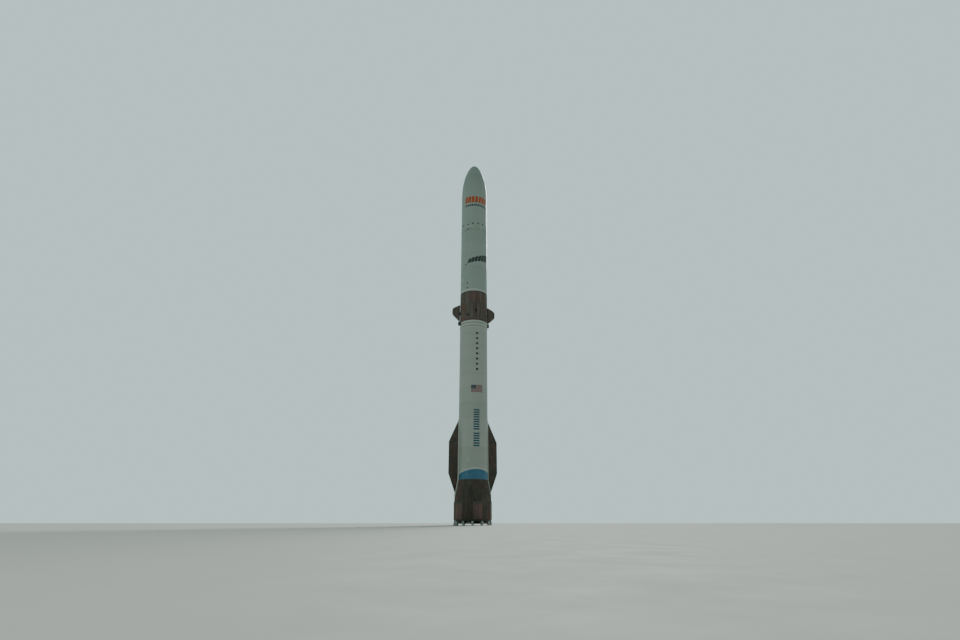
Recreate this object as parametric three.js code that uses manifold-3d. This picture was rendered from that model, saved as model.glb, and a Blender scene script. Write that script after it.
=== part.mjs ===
// Two-stage heavy-lift space rocket standing on its hold-down feet, as a 1:10 scale model.
// Millimetres, +Z up. The origin is on the ground under the middle of the feet, +X points along a strake,
// and -Y is the side that carries the markings.

import * as THREE from 'three';
import { mergeVertices } from 'three/addons/utils/BufferGeometryUtils.js';
import Module from 'manifold-3d';

const wasm = await Module();
wasm.setup();

// Scale. Every size below is the full-size rocket's, in metres, times METRE.
const MODEL_SCALE = 0.1;
const METRE = 1000 * MODEL_SCALE;
const TOUCH_GAP = 0.3;

// Stage heights above the ground
const SKIRT_BOTTOM = 1.1 * METRE;
const SKIRT_SHOULDER = 6.0 * METRE;
const TANK_BOTTOM = 9.8 * METRE;
const TANK_TOP = 48.55 * METRE;
const SECOND_STAGE_BOTTOM = 56.6 * METRE;
const FAIRING_BOTTOM = 75.7 * METRE;
const NOSE_START = 87.0 * METRE;
const ROCKET_TOP = 98.0 * METRE;
const NOSE_BLUNTNESS = 0.6;

// Body radii and walls
const BODY_RADIUS = 3.5 * METRE;
const SKIRT_RADIUS = 4.25 * METRE;
const SKIRT_WALL = 0.1 * METRE;
const MODULE_WALL = 0.12 * METRE;
const FAIRING_WALL = 0.1 * METRE;
const BODY_SEGMENTS = 48;

// Hold-down feet: tapered posts under one ring frame
const FOOT_COUNT = 12;
const FOOT_FIRST_ANGLE = 15;
const FOOT_CIRCLE_RADIUS = 4.12 * METRE;
const FOOT_TOP_RADIUS = 0.25 * METRE;
const FOOT_BASE_RADIUS = 0.32 * METRE;
const FOOT_RING_INNER = 3.92 * METRE;
const FOOT_RING_HEIGHT = 0.25 * METRE;

// Stowed landing-leg panels on the skirt
const LEG_COUNT = 6;
const LEG_FIRST_ANGLE = 30;
const LEG_HALF_ANGLE = 14.6;
const LEG_BOTTOM = 1.2 * METRE;
const LEG_TOP = 5.0 * METRE;
const LEG_THICKNESS = 0.1 * METRE;
const LEG_GAP = 1;

// Strakes and the fairings along their roots
const STRAKE_TOP = 23.4 * METRE;
const STRAKE_CORNER_TOP = 18.5 * METRE;
const STRAKE_CORNER_BOTTOM = 11.3 * METRE;
const STRAKE_BOTTOM = 6.9 * METRE;
const STRAKE_RADIUS = 5.9 * METRE;
const STRAKE_THICKNESS = 0.44 * METRE;
const STRAKE_EDGE_BEVEL = 0.12 * METRE;
const ROOT_FAIRING_RISE = 0.22 * METRE;
const ROOT_FAIRING_WIDTH = 0.8 * METRE;
const ROOT_FAIRING_TOP = 24.0 * METRE;

// Ring flange near the top of the first-stage tank
const FLANGE_HEIGHT = 47.2 * METRE;
const FLANGE_THICKNESS = 0.24 * METRE;
const FLANGE_RISE = 0.07 * METRE;

// Steering fins, each on a spindle through the forward module's wall
const FIN_COUNT = 4;
const FIN_AXIS_HEIGHT = 51.2 * METRE;
const FIN_ROOT_RADIUS = 3.66 * METRE;
const FIN_TOP = 2.42 * METRE;
const FIN_BOTTOM = -2.2 * METRE;
const FIN_REACH = 5.71 * METRE;
const FIN_THICKNESS = 0.34 * METRE;
const FIN_EDGE_BEVEL = 0.1 * METRE;
const FIN_SPINDLE_RADIUS = 0.17 * METRE;
const FIN_COLLAR_RADIUS = 0.3 * METRE;
const FIN_BOSS_RADIUS = 0.46 * METRE;
const FIN_BOSS_FACE = 3.59 * METRE;
const FIN_BORE_RADIUS = 0.19 * METRE;

// Small pods under the two side fins, across the joint of tank and forward module
const POD = { bottom: 47.9 * METRE, top: 48.9 * METRE, width: 0.5 * METRE, face: 4.12 * METRE };

// Engines: one in the middle, six in a ring, each on a two-axis gimbal
const RING_ENGINE_COUNT = 6;
const ENGINE_CIRCLE_RADIUS = 2.7 * METRE;
const ENGINE_EXIT_HEIGHT = 0.3 * METRE;
const ENGINE_PIVOT_ABOVE_EXIT = 3.1 * METRE;
const NOZZLE_WALL = 0.04 * METRE;
const NOZZLE_SEGMENTS = 16;
const GIMBAL_PLATE_DROP = 0.35 * METRE;
const GIMBAL_BLOCK = 0.2 * METRE;
const GIMBAL_PIN_RADIUS = 0.06 * METRE;
const GIMBAL_PIN_REACH = 0.27 * METRE;
const GIMBAL_BORE_RADIUS = 0.075 * METRE;
const LUG_HALF_WIDTH = 0.1 * METRE;
const LUG_THICKNESS = 0.1 * METRE;
const LUG_OFFSET = 0.2 * METRE;
const THRUST_FRAME_THICKNESS = 0.25 * METRE;
const HEAT_SHIELD_BOTTOM = 1.85 * METRE;
const HEAT_SHIELD_THICKNESS = 0.15 * METRE;
const HEAT_SHIELD_HOLE_RADIUS = 0.8 * METRE;

// Second-stage engine block, payload adapter and fairing hinges
const UPPER_ENGINE = { radius: 1.9 * METRE, bottom: 51.7 * METRE };
const ADAPTER = { baseRadius: 2.2 * METRE, topRadius: 1.31 * METRE, top: 77.2 * METRE };
const FAIRING_HINGE_Y = 3.66 * METRE;
const FAIRING_HINGE_X = [-0.7 * METRE, 0.7 * METRE];
const HINGE_BARREL_RADIUS = 0.1 * METRE;
const HINGE_BARREL_LENGTH = 0.34 * METRE;
const HINGE_PIN_RADIUS = 0.05 * METRE;
const HINGE_PIN_LENGTH = 0.62 * METRE;
const HINGE_BORE_RADIUS = 0.065 * METRE;
const HINGE_LUG_THICKNESS = 0.1 * METRE;

// Colours and finishes
const FINISHES = {
  white_paint: { color: 0xdcdedb, roughness: 0.45, metalness: 0.0 },
  brown_insulation: { color: 0x4a4038, roughness: 0.85, metalness: 0.0 },
  dark_insulation: { color: 0x332f2a, roughness: 0.85, metalness: 0.0 },
  leg_panel: { color: 0x4c3b36, roughness: 0.7, metalness: 0.0 },
  dark_metal: { color: 0x3b3d3e, roughness: 0.5, metalness: 0.8 },
  nozzle_metal: { color: 0x8a8078, roughness: 0.35, metalness: 0.9 },
  bare_metal: { color: 0xa9adb0, roughness: 0.35, metalness: 0.9 },
};

const rocket = new THREE.Group();

function degrees(angle) {
  return THREE.MathUtils.degToRad(angle);
}

// A geometry turned into a solid that can be joined or cut
function solid(geometry) {
  const plain = geometry.clone();
  plain.deleteAttribute('normal');
  plain.deleteAttribute('uv');
  const merged = mergeVertices(plain, 1e-4);
  const mesh = new wasm.Mesh({
    numProp: 3,
    vertProperties: new Float32Array(merged.attributes.position.array),
    triVerts: new Uint32Array(merged.index.array),
  });
  return new wasm.Manifold(mesh);
}

function geometryOf(manifold) {
  const mesh = manifold.getMesh();
  const geometry = new THREE.BufferGeometry();
  geometry.setAttribute('position', new THREE.BufferAttribute(new Float32Array(mesh.vertProperties), 3));
  geometry.setIndex(new THREE.BufferAttribute(new Uint32Array(mesh.triVerts), 1));
  geometry.computeVertexNormals();
  return geometry;
}

// Joins a list of geometries into one solid, then cuts a second list out of it
function joined(added, cut = []) {
  let result = solid(added[0]);
  for (const geometry of added.slice(1)) {
    result = result.add(solid(geometry));
  }
  for (const geometry of cut) {
    result = result.subtract(solid(geometry));
  }
  return geometryOf(result);
}

function place(name, geometry, finish, position = [0, 0, 0], turn = 0, parent = rocket) {
  const mesh = new THREE.Mesh(geometry, new THREE.MeshStandardMaterial(FINISHES[finish]));
  mesh.name = name;
  mesh.position.set(...position);
  mesh.rotation.z = degrees(turn);
  parent.add(mesh);
  return mesh;
}

// Turned shape: profile points are [radius, height], outer side upwards, inner side downwards
function turned(profile, segments = BODY_SEGMENTS) {
  const points = profile.map(([radius, height]) => new THREE.Vector2(radius, height));
  return new THREE.LatheGeometry(points, segments).rotateX(Math.PI / 2);
}

// Closed ring with a rectangular section
function ring(inner, outer, bottom, top, segments = BODY_SEGMENTS) {
  return turned([[inner, bottom], [outer, bottom], [outer, top], [inner, top], [inner, bottom]], segments);
}

function disc(radius, bottom, top, segments = BODY_SEGMENTS) {
  return turned([[0, bottom], [radius, bottom], [radius, top], [0, top]], segments);
}

// Rod of a given radius from one point to another
function rod(radius, from, to, sides = 12) {
  const start = new THREE.Vector3(...from);
  const end = new THREE.Vector3(...to);
  const along = end.clone().sub(start);
  const geometry = new THREE.CylinderGeometry(radius, radius, along.length(), sides);
  const turn = new THREE.Quaternion().setFromUnitVectors(new THREE.Vector3(0, 1, 0), along.normalize());
  return geometry.applyQuaternion(turn).translate(...start.add(end).multiplyScalar(0.5));
}

function block(low, high) {
  const size = high.map((value, axis) => value - low[axis]);
  const middle = high.map((value, axis) => (value + low[axis]) / 2);
  return new THREE.BoxGeometry(...size).translate(...middle);
}

// Plate in the XZ plane, centred on Y, with its edges bevelled on both faces
function upright(outline, thickness, bevel = 0) {
  const shape = new THREE.Shape(outline.map(([x, z]) => new THREE.Vector2(x, z)));
  const depth = thickness - 2 * bevel;
  const options = { depth, bevelEnabled: bevel > 0, bevelThickness: bevel, bevelSize: bevel, bevelSegments: 1 };
  const geometry = new THREE.ExtrudeGeometry(shape, { ...options, bevelOffset: -bevel, steps: 1 });
  return geometry.translate(0, 0, -depth / 2).rotateX(Math.PI / 2);
}

// Hanging or standing lug with a round eye at its own origin. The bore runs along Y
function lug(reach, eyeRadius, bore, thickness) {
  const shape = new THREE.Shape();
  shape.moveTo(eyeRadius, 0);
  shape.lineTo(eyeRadius, reach);
  shape.lineTo(-eyeRadius, reach);
  shape.lineTo(-eyeRadius, 0);
  shape.absarc(0, 0, eyeRadius, Math.PI, 2 * Math.PI, false);
  const eye = new THREE.Path();
  eye.absarc(0, 0, bore, 0, 2 * Math.PI, true);
  shape.holes.push(eye);
  const geometry = new THREE.ExtrudeGeometry(shape, { depth: thickness, bevelEnabled: false, curveSegments: 6 });
  return geometry.translate(0, 0, -thickness / 2).rotateX(Math.PI / 2);
}

// Places at equal angles on a circle
function around(count, firstAngle) {
  return Array.from({ length: count }, (_, index) => firstAngle + (index * 360) / count);
}

function onCircle(radius, angle, height = 0) {
  return [radius * Math.cos(degrees(angle)), radius * Math.sin(degrees(angle)), height];
}

// Hold-down feet
function addFeet() {
  const ringTop = SKIRT_BOTTOM - TOUCH_GAP;
  const ringBottom = ringTop - FOOT_RING_HEIGHT;
  const postHeight = ringBottom + FOOT_RING_HEIGHT / 2;
  const parts = [ring(FOOT_RING_INNER, SKIRT_RADIUS, ringBottom, ringTop)];
  for (const angle of around(FOOT_COUNT, FOOT_FIRST_ANGLE)) {
    const post = new THREE.CylinderGeometry(FOOT_TOP_RADIUS, FOOT_BASE_RADIUS, postHeight, 10);
    parts.push(post.rotateX(Math.PI / 2).translate(...onCircle(FOOT_CIRCLE_RADIUS, angle, postHeight / 2)));
  }
  place('hold_down_feet', joined(parts), 'white_paint');
}

// Aft skirt: straight around the engines, then tapering to the tank
function addSkirt() {
  const inside = SKIRT_RADIUS - SKIRT_WALL;
  place('aft_skirt', turned([
    [inside, SKIRT_BOTTOM],
    [SKIRT_RADIUS, SKIRT_BOTTOM],
    [SKIRT_RADIUS, SKIRT_SHOULDER],
    [BODY_RADIUS, TANK_BOTTOM],
    [BODY_RADIUS - SKIRT_WALL, TANK_BOTTOM],
    [inside, SKIRT_SHOULDER],
    [inside, SKIRT_BOTTOM],
  ]), 'dark_insulation');
}

function addLegPanels() {
  const inner = SKIRT_RADIUS + LEG_GAP;
  const steps = [-1, -0.5, 0, 0.5, 1];
  const outerSide = steps.map((step) => onCircle(inner + LEG_THICKNESS, step * LEG_HALF_ANGLE));
  const innerSide = steps.map((step) => onCircle(inner, -step * LEG_HALF_ANGLE));
  const section = new THREE.Shape([...outerSide, ...innerSide].map(([x, y]) => new THREE.Vector2(x, y)));
  around(LEG_COUNT, LEG_FIRST_ANGLE).forEach((angle, index) => {
    const panel = new THREE.ExtrudeGeometry(section, { depth: LEG_TOP - LEG_BOTTOM, bevelEnabled: false });
    place(`leg_panel_${index + 1}`, panel, 'leg_panel', [0, 0, LEG_BOTTOM], angle);
  });
}

// Radius of the body at a height near the strakes: tapered skirt below, tank above
function bodyRadiusAt(height) {
  const along = (height - SKIRT_SHOULDER) / (TANK_BOTTOM - SKIRT_SHOULDER);
  return THREE.MathUtils.lerp(SKIRT_RADIUS, BODY_RADIUS, THREE.MathUtils.clamp(along, 0, 1));
}

// Root fairings lie on the body, and each strake stands on its root fairing
function addStrakes() {
  const rootBottom = SKIRT_SHOULDER + 0.2 * METRE;
  const seat = (height) => bodyRadiusAt(height) + 2 * TOUCH_GAP;
  const rootFace = (height) => bodyRadiusAt(height) + ROOT_FAIRING_RISE;
  const strakeRoot = (height) => rootFace(height) + TOUCH_GAP;
  const rootOutline = [
    [seat(rootBottom), rootBottom],
    [rootFace(rootBottom), rootBottom],
    [rootFace(TANK_BOTTOM), TANK_BOTTOM],
    [rootFace(STRAKE_TOP), STRAKE_TOP],
    [seat(ROOT_FAIRING_TOP), ROOT_FAIRING_TOP],
    [seat(TANK_BOTTOM), TANK_BOTTOM],
  ];
  const strakeOutline = [
    [strakeRoot(STRAKE_BOTTOM), STRAKE_BOTTOM],
    [STRAKE_RADIUS, STRAKE_CORNER_BOTTOM],
    [STRAKE_RADIUS, STRAKE_CORNER_TOP],
    [strakeRoot(STRAKE_TOP), STRAKE_TOP],
    [strakeRoot(TANK_BOTTOM), TANK_BOTTOM],
  ];
  const sides = [
    { side: 'right', angle: 0 },
    { side: 'left', angle: 180 },
  ];
  for (const { side, angle } of sides) {
    place(`strake_root_${side}`, upright(rootOutline, ROOT_FAIRING_WIDTH), 'white_paint', [0, 0, 0], angle);
    const strake = upright(strakeOutline, STRAKE_THICKNESS, STRAKE_EDGE_BEVEL);
    place(`strake_${side}`, strake, 'dark_insulation', [0, 0, 0], angle);
  }
}

function addFirstStageTank() {
  const flangeBottom = FLANGE_HEIGHT - FLANGE_THICKNESS / 2;
  const flangeTop = FLANGE_HEIGHT + FLANGE_THICKNESS / 2;
  const bottom = TANK_BOTTOM + TOUCH_GAP;
  place('first_stage_tank', turned([
    [0, bottom],
    [BODY_RADIUS, bottom],
    [BODY_RADIUS, flangeBottom],
    [BODY_RADIUS + FLANGE_RISE, flangeBottom],
    [BODY_RADIUS + FLANGE_RISE, flangeTop],
    [BODY_RADIUS, flangeTop],
    [BODY_RADIUS, TANK_TOP],
    [0, TANK_TOP],
  ]), 'white_paint');
}

// Forward module: hollow ring that holds the fin spindles and covers the second-stage engine
function addForwardModule() {
  const bottom = TANK_TOP + TOUCH_GAP;
  const top = SECOND_STAGE_BOTTOM - TOUCH_GAP;
  const parts = [ring(BODY_RADIUS - MODULE_WALL, BODY_RADIUS, bottom, top)];
  const bores = [];
  for (const angle of around(FIN_COUNT, 0)) {
    const inside = onCircle(BODY_RADIUS - MODULE_WALL / 2, angle, FIN_AXIS_HEIGHT);
    const face = onCircle(FIN_BOSS_FACE, angle, FIN_AXIS_HEIGHT);
    const past = onCircle(FIN_BOSS_FACE + METRE, angle, FIN_AXIS_HEIGHT);
    const before = onCircle(BODY_RADIUS - METRE, angle, FIN_AXIS_HEIGHT);
    parts.push(rod(FIN_BOSS_RADIUS, inside, face, 16));
    bores.push(rod(FIN_BORE_RADIUS, before, past));
  }
  place('forward_module', joined(parts, bores), 'brown_insulation');
}

// One fin along +X: blade, spindle through the wall and the collar behind it. Its origin is on the axis
function finGeometry() {
  const outline = [
    [FIN_ROOT_RADIUS, FIN_BOTTOM],
    [4.02 * METRE, -2.08 * METRE],
    [5.37 * METRE, -0.81 * METRE],
    [5.62 * METRE, -0.48 * METRE],
    [FIN_REACH, -0.1 * METRE],
    [FIN_REACH, 0.78 * METRE],
    [5.6 * METRE, 1.16 * METRE],
    [5.31 * METRE, 1.5 * METRE],
    [FIN_ROOT_RADIUS, FIN_TOP],
  ];
  const collarFace = BODY_RADIUS - MODULE_WALL - 0.1 * METRE;
  const collarBack = collarFace - 0.1 * METRE;
  return joined([
    upright(outline, FIN_THICKNESS, FIN_EDGE_BEVEL),
    rod(FIN_SPINDLE_RADIUS, [collarBack, 0, 0], [FIN_ROOT_RADIUS + 0.3 * METRE, 0, 0]),
    rod(FIN_COLLAR_RADIUS, [collarBack, 0, 0], [collarFace, 0, 0], 16),
  ]);
}

function addFins() {
  around(FIN_COUNT, 0).forEach((angle, index) => {
    place(`fin_${index + 1}`, finGeometry(), 'brown_insulation', [0, 0, FIN_AXIS_HEIGHT], angle);
  });
}

function addPods() {
  const low = [BODY_RADIUS + TOUCH_GAP, -POD.width / 2, POD.bottom];
  const high = [POD.face, POD.width / 2, POD.top];
  place('pod_right', block(low, high), 'dark_metal');
  place('pod_left', block(low, high), 'dark_metal', [0, 0, 0], 180);
}

function addBaseHeatShield() {
  const radius = SKIRT_RADIUS - SKIRT_WALL - 2 * TOUCH_GAP;
  const top = HEAT_SHIELD_BOTTOM + HEAT_SHIELD_THICKNESS;
  const holes = enginePlaces().map(({ x, y }) => {
    const start = [x, y, HEAT_SHIELD_BOTTOM - METRE];
    return rod(HEAT_SHIELD_HOLE_RADIUS, start, [x, y, top + METRE], 20);
  });
  place('base_heat_shield', joined([disc(radius, HEAT_SHIELD_BOTTOM, top)], holes), 'dark_metal');
}

// Engine places: the middle one, then the ring. Each engine's own X axis points out along its angle
function enginePlaces() {
  const places = [{ x: 0, y: 0, angle: 0 }];
  for (const angle of around(RING_ENGINE_COUNT, 0)) {
    const [x, y] = onCircle(ENGINE_CIRCLE_RADIUS, angle);
    places.push({ x, y, angle });
  }
  return places;
}

const PIVOT_HEIGHT = ENGINE_EXIT_HEIGHT + ENGINE_PIVOT_ABOVE_EXIT;

// Thrust frame: plate across the skirt with two hanging lugs over each engine
function addThrustFrame() {
  const bottom = PIVOT_HEIGHT + GIMBAL_PLATE_DROP;
  const radius = SKIRT_RADIUS - SKIRT_WALL - 2 * TOUCH_GAP;
  const parts = [disc(radius, bottom, bottom + THRUST_FRAME_THICKNESS)];
  for (const { x, y, angle } of enginePlaces()) {
    for (const side of [-1, 1]) {
      const reach = GIMBAL_PLATE_DROP + THRUST_FRAME_THICKNESS / 2;
      const hanging = lug(reach, LUG_HALF_WIDTH, GIMBAL_BORE_RADIUS, LUG_THICKNESS);
      hanging.translate(0, side * LUG_OFFSET, 0).rotateZ(degrees(angle)).translate(x, y, PIVOT_HEIGHT);
      parts.push(hanging);
    }
  }
  place('thrust_frame', joined(parts), 'dark_metal');
}

// Gimbal cross: block with one pin held by the thrust frame's lugs and one by the engine's
function crossGeometry() {
  const half = GIMBAL_BLOCK / 2;
  return joined([
    block([-half, -half, -half], [half, half, half]),
    rod(GIMBAL_PIN_RADIUS, [0, -GIMBAL_PIN_REACH, 0], [0, GIMBAL_PIN_REACH, 0]),
    rod(GIMBAL_PIN_RADIUS, [-GIMBAL_PIN_REACH, 0, 0], [GIMBAL_PIN_REACH, 0, 0]),
  ]);
}

// Engine about its pivot: hollow bell, throat, chamber, turbopump and the two lugs on top
function engineGeometry() {
  const exit = -ENGINE_PIVOT_ABOVE_EXIT;
  const chamberTop = -GIMBAL_PLATE_DROP;
  // columns: height above the exit, outer radius
  const bell = [
    [0.0, 0.9],
    [0.4, 0.87],
    [0.9, 0.76],
    [1.4, 0.6],
    [1.8, 0.4],
    [2.05, 0.27],
  ].map(([height, radius]) => [radius * METRE, exit + height * METRE]);
  const bore = bell.slice().reverse().map(([radius, height]) => [radius - NOZZLE_WALL, height]);
  const chamber = [
    [0.4 * METRE, exit + 2.3 * METRE],
    [0.4 * METRE, chamberTop - 0.1 * METRE],
    [0.3 * METRE, chamberTop],
    [0, chamberTop],
  ];
  const throat = bore[0][1];
  const profile = [[0, throat], ...bore, ...bell, ...chamber];
  const parts = [turned(profile, NOZZLE_SEGMENTS)];
  const pumpX = -0.6 * METRE;
  parts.push(rod(0.16 * METRE, [pumpX, 0, exit + 2.0 * METRE], [pumpX, 0, chamberTop - 0.05 * METRE], 10));
  parts.push(rod(0.09 * METRE, [pumpX, 0, exit + 2.45 * METRE], [0, 0, exit + 2.45 * METRE], 8));
  for (const side of [-1, 1]) {
    const reach = GIMBAL_PLATE_DROP + 0.04 * METRE;
    const standing = lug(reach, LUG_HALF_WIDTH, GIMBAL_BORE_RADIUS, LUG_THICKNESS);
    parts.push(standing.rotateX(Math.PI).translate(0, side * LUG_OFFSET, 0).rotateZ(Math.PI / 2));
  }
  return joined(parts);
}

function addEngines() {
  enginePlaces().forEach(({ x, y, angle }, index) => {
    const pivot = [x, y, PIVOT_HEIGHT];
    place(`gimbal_cross_${index + 1}`, crossGeometry(), 'bare_metal', pivot, angle);
    place(`engine_${index + 1}`, engineGeometry(), 'nozzle_metal', pivot, angle);
  });
}

// Second stage, with the lugs that carry the fairing hinges on its top edge
function addSecondStage() {
  const top = FAIRING_BOTTOM - TOUCH_GAP;
  const parts = [disc(BODY_RADIUS, SECOND_STAGE_BOTTOM, top)];
  const lugSide = (HINGE_BARREL_LENGTH + HINGE_LUG_THICKNESS) / 2 + 0.01 * METRE;
  const outline = [
    [3.3 * METRE, -0.7 * METRE],
    [3.52 * METRE, -0.7 * METRE],
    [FAIRING_HINGE_Y + 0.12 * METRE, -0.12 * METRE],
    [FAIRING_HINGE_Y + 0.12 * METRE, 0.12 * METRE],
    [FAIRING_HINGE_Y - 0.1 * METRE, 0.12 * METRE],
    [FAIRING_HINGE_Y - 0.1 * METRE, -0.06 * METRE],
    [3.3 * METRE, -0.06 * METRE],
  ];
  const bores = [];
  for (const facing of [90, 270]) {
    for (const hingeX of FAIRING_HINGE_X) {
      for (const side of [-1, 1]) {
        const plate = upright(outline, HINGE_LUG_THICKNESS).translate(0, hingeX + side * lugSide, 0);
        parts.push(plate.rotateZ(degrees(facing)).translate(0, 0, FAIRING_BOTTOM));
      }
    }
    const y = Math.sign(Math.sin(degrees(facing))) * FAIRING_HINGE_Y;
    const reach = 2 * METRE;
    bores.push(rod(HINGE_BORE_RADIUS, [-reach, y, FAIRING_BOTTOM], [reach, y, FAIRING_BOTTOM]));
  }
  place('second_stage', joined(parts, bores), 'white_paint');
}

function addUpperEngineAndAdapter() {
  const engineTop = SECOND_STAGE_BOTTOM - TOUCH_GAP;
  const engine = disc(UPPER_ENGINE.radius, UPPER_ENGINE.bottom, engineTop, 24);
  place('upper_engine_block', engine, 'dark_metal');
  place('payload_adapter', turned([
    [0, FAIRING_BOTTOM],
    [ADAPTER.baseRadius, FAIRING_BOTTOM],
    [ADAPTER.topRadius, ADAPTER.top],
    [0, ADAPTER.top],
  ], 32), 'bare_metal');
}

// Fairing shell: straight base, then a blunt curve to the nose, wall measured inwards
function fairingShell() {
  const outside = [0, 0.25, 0.45, 0.62, 0.76, 0.87, 0.95, 0.99];
  const curve = (radius, length) => outside.map((along) => [
    radius * (1 - along * along) ** NOSE_BLUNTNESS,
    NOSE_START + length * along,
  ]);
  const outer = curve(BODY_RADIUS, ROCKET_TOP - NOSE_START);
  const innerRadius = BODY_RADIUS - FAIRING_WALL;
  const inner = curve(innerRadius, ROCKET_TOP - NOSE_START - 2 * FAIRING_WALL);
  return turned([
    [0, ROCKET_TOP - 2 * FAIRING_WALL],
    ...inner.reverse(),
    [innerRadius, FAIRING_BOTTOM],
    [BODY_RADIUS, FAIRING_BOTTOM],
    ...outer,
    [0, ROCKET_TOP],
  ]);
}

// Fairing halves, split along the strakes' plane, each with two hinge barrels and pins at its foot
function addFairing() {
  const shell = fairingShell();
  const reach = BODY_RADIUS + METRE;
  const halves = [
    { name: 'fairing_half_front', facing: -1 },
    { name: 'fairing_half_back', facing: 1 },
  ];
  for (const { name, facing } of halves) {
    const removed = facing < 0 ? [-TOUCH_GAP / 2, reach] : [-reach, TOUCH_GAP / 2];
    const parts = [solid(shell).subtract(solid(block(
      [-reach, removed[0], FAIRING_BOTTOM - METRE],
      [reach, removed[1], ROCKET_TOP + METRE],
    )))];
    const y = facing * FAIRING_HINGE_Y;
    const tabInside = facing * (BODY_RADIUS - FAIRING_WALL);
    for (const x of FAIRING_HINGE_X) {
      const half = HINGE_BARREL_LENGTH / 2;
      const pin = HINGE_PIN_LENGTH / 2;
      const low = [x - half, Math.min(y, tabInside), FAIRING_BOTTOM + 0.02 * METRE];
      const high = [x + half, Math.max(y, tabInside), FAIRING_BOTTOM + 0.4 * METRE];
      parts.push(solid(block(low, high)));
      parts.push(solid(rod(HINGE_BARREL_RADIUS, [x - half, y, FAIRING_BOTTOM], [x + half, y, FAIRING_BOTTOM])));
      parts.push(solid(rod(HINGE_PIN_RADIUS, [x - pin, y, FAIRING_BOTTOM], [x + pin, y, FAIRING_BOTTOM])));
    }
    const half = parts.reduce((whole, part) => whole.add(part));
    place(name, geometryOf(half), 'white_paint');
  }
}

addFeet();
addSkirt();
addLegPanels();
addStrakes();
addFirstStageTank();
addForwardModule();
addFins();
addPods();
addBaseHeatShield();
addThrustFrame();
addEngines();
addSecondStage();
addUpperEngineAndAdapter();
addFairing();

export default rocket;
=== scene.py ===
"""Finish of a two-stage space rocket, a 1:10 model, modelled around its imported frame. Metres, +Z up."""
from math import ceil, cos, pi, radians, sin

import bmesh
import bpy
from mathutils import Matrix, Vector


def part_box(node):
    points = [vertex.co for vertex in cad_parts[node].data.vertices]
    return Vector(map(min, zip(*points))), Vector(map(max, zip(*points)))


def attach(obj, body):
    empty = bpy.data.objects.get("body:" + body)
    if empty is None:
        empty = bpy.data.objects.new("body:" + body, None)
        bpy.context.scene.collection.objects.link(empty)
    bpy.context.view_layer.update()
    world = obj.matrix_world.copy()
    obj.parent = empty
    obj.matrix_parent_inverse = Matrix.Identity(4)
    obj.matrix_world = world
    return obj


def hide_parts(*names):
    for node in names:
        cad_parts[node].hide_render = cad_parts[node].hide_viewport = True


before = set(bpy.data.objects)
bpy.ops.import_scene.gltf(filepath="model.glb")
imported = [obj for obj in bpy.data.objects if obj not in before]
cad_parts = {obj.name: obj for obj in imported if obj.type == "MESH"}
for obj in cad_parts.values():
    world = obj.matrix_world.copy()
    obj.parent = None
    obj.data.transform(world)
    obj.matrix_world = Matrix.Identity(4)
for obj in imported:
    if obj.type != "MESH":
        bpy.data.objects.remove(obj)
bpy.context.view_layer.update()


def span(node_name):
    """Lowest and highest height of a node of the frame."""
    return [corner.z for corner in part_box(node_name)]


# Driving sizes. M is one metre of the full-size rocket; some sizes are read from the frame and the rest are given.
M = 0.1
MM = 0.001
BODY_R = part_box("fairing_half_front")[1].x
SKIRT_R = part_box("aft_skirt")[1].x
SKIRT_LOW, SKIRT_HIGH = span("aft_skirt")
TANK_LOW, TANK_HIGH = span("first_stage_tank")
MODULE_LOW, MODULE_HIGH = span("forward_module")
STAGE2_LOW, STAGE2_HIGH = span("second_stage")
FAIRING_LOW, NOSE_TIP = span("fairing_half_front")
PIVOT_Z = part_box("gimbal_cross_1")[0].z + 0.1 * M
FIN_AXIS_Z = 51.2 * M
SKIRT_SHOULDER = 6.0 * M
NOSE_START = 87.0 * M
NOSE_POWER = 1.2
SKIRT_WALL = 0.1 * M
MODULE_WALL = 0.12 * M
FAIRING_WALL = 0.08 * M
FLANGE_Z = 47.2 * M
FLANGE_RISE = 0.07 * M
ROOT_RISE = 0.22 * M
TANK_PITCH = 3.56 * M
STAGE2_PITCH = 3.72 * M
LEG_HALF_ANGLE = radians(14.6)
HINGE_Y = 3.66 * M
HINGE_X = (-0.7 * M, 0.7 * M)
ENGINE_CIRCLE = 2.7 * M
FOOT_CIRCLE = 4.12 * M
RING_LOW = 0.85 * M
FAIRING_BAYS = (FAIRING_LOW + 2 * MM, FAIRING_LOW + 3.2 * M, FAIRING_LOW + 6.2 * M, NOSE_START)
MARK_LIFT = 0.35 * MM
MARK_THICKNESS = 0.5 * MM
TURN = 2 * pi
# Headings of the two marked sides, and the turn to each side that carries a strake
FRONT = radians(270)
BACK = radians(90)
SIDES = {"right": Matrix(), "left": Matrix.Rotation(pi, 4, "Z")}
SMOOTH = 144  # sides of a shape that is as wide as the body
ROOT = "rocket_body"


# Shader helpers
def feed(tree, socket, value):
    """Links a socket into another one, or sets a plain value on it."""
    if isinstance(value, bpy.types.NodeSocket):
        tree.links.new(value, socket)
    else:
        socket.default_value = value


def node(tree, kind, inputs=(), **settings):
    """Adds a node with its settings and its inputs, given in order or by name; returns its outputs."""
    made = tree.nodes.new(kind)
    for key, value in settings.items():
        setattr(made, key, value)
    for key, value in inputs.items() if isinstance(inputs, dict) else enumerate(inputs):
        feed(tree, made.inputs[key], value)
    return made.outputs


def calc(tree, operation, *values, clamp=False):
    return node(tree, "ShaderNodeMath", values, operation=operation, use_clamp=clamp)[0]


def times(tree, first, second):
    return calc(tree, "MULTIPLY", first, second)


def remap(tree, value, low, high, to_low=0.0, to_high=1.0):
    return node(tree, "ShaderNodeMapRange", (value, low, high, to_low, to_high), clamp=True)[0]


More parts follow.
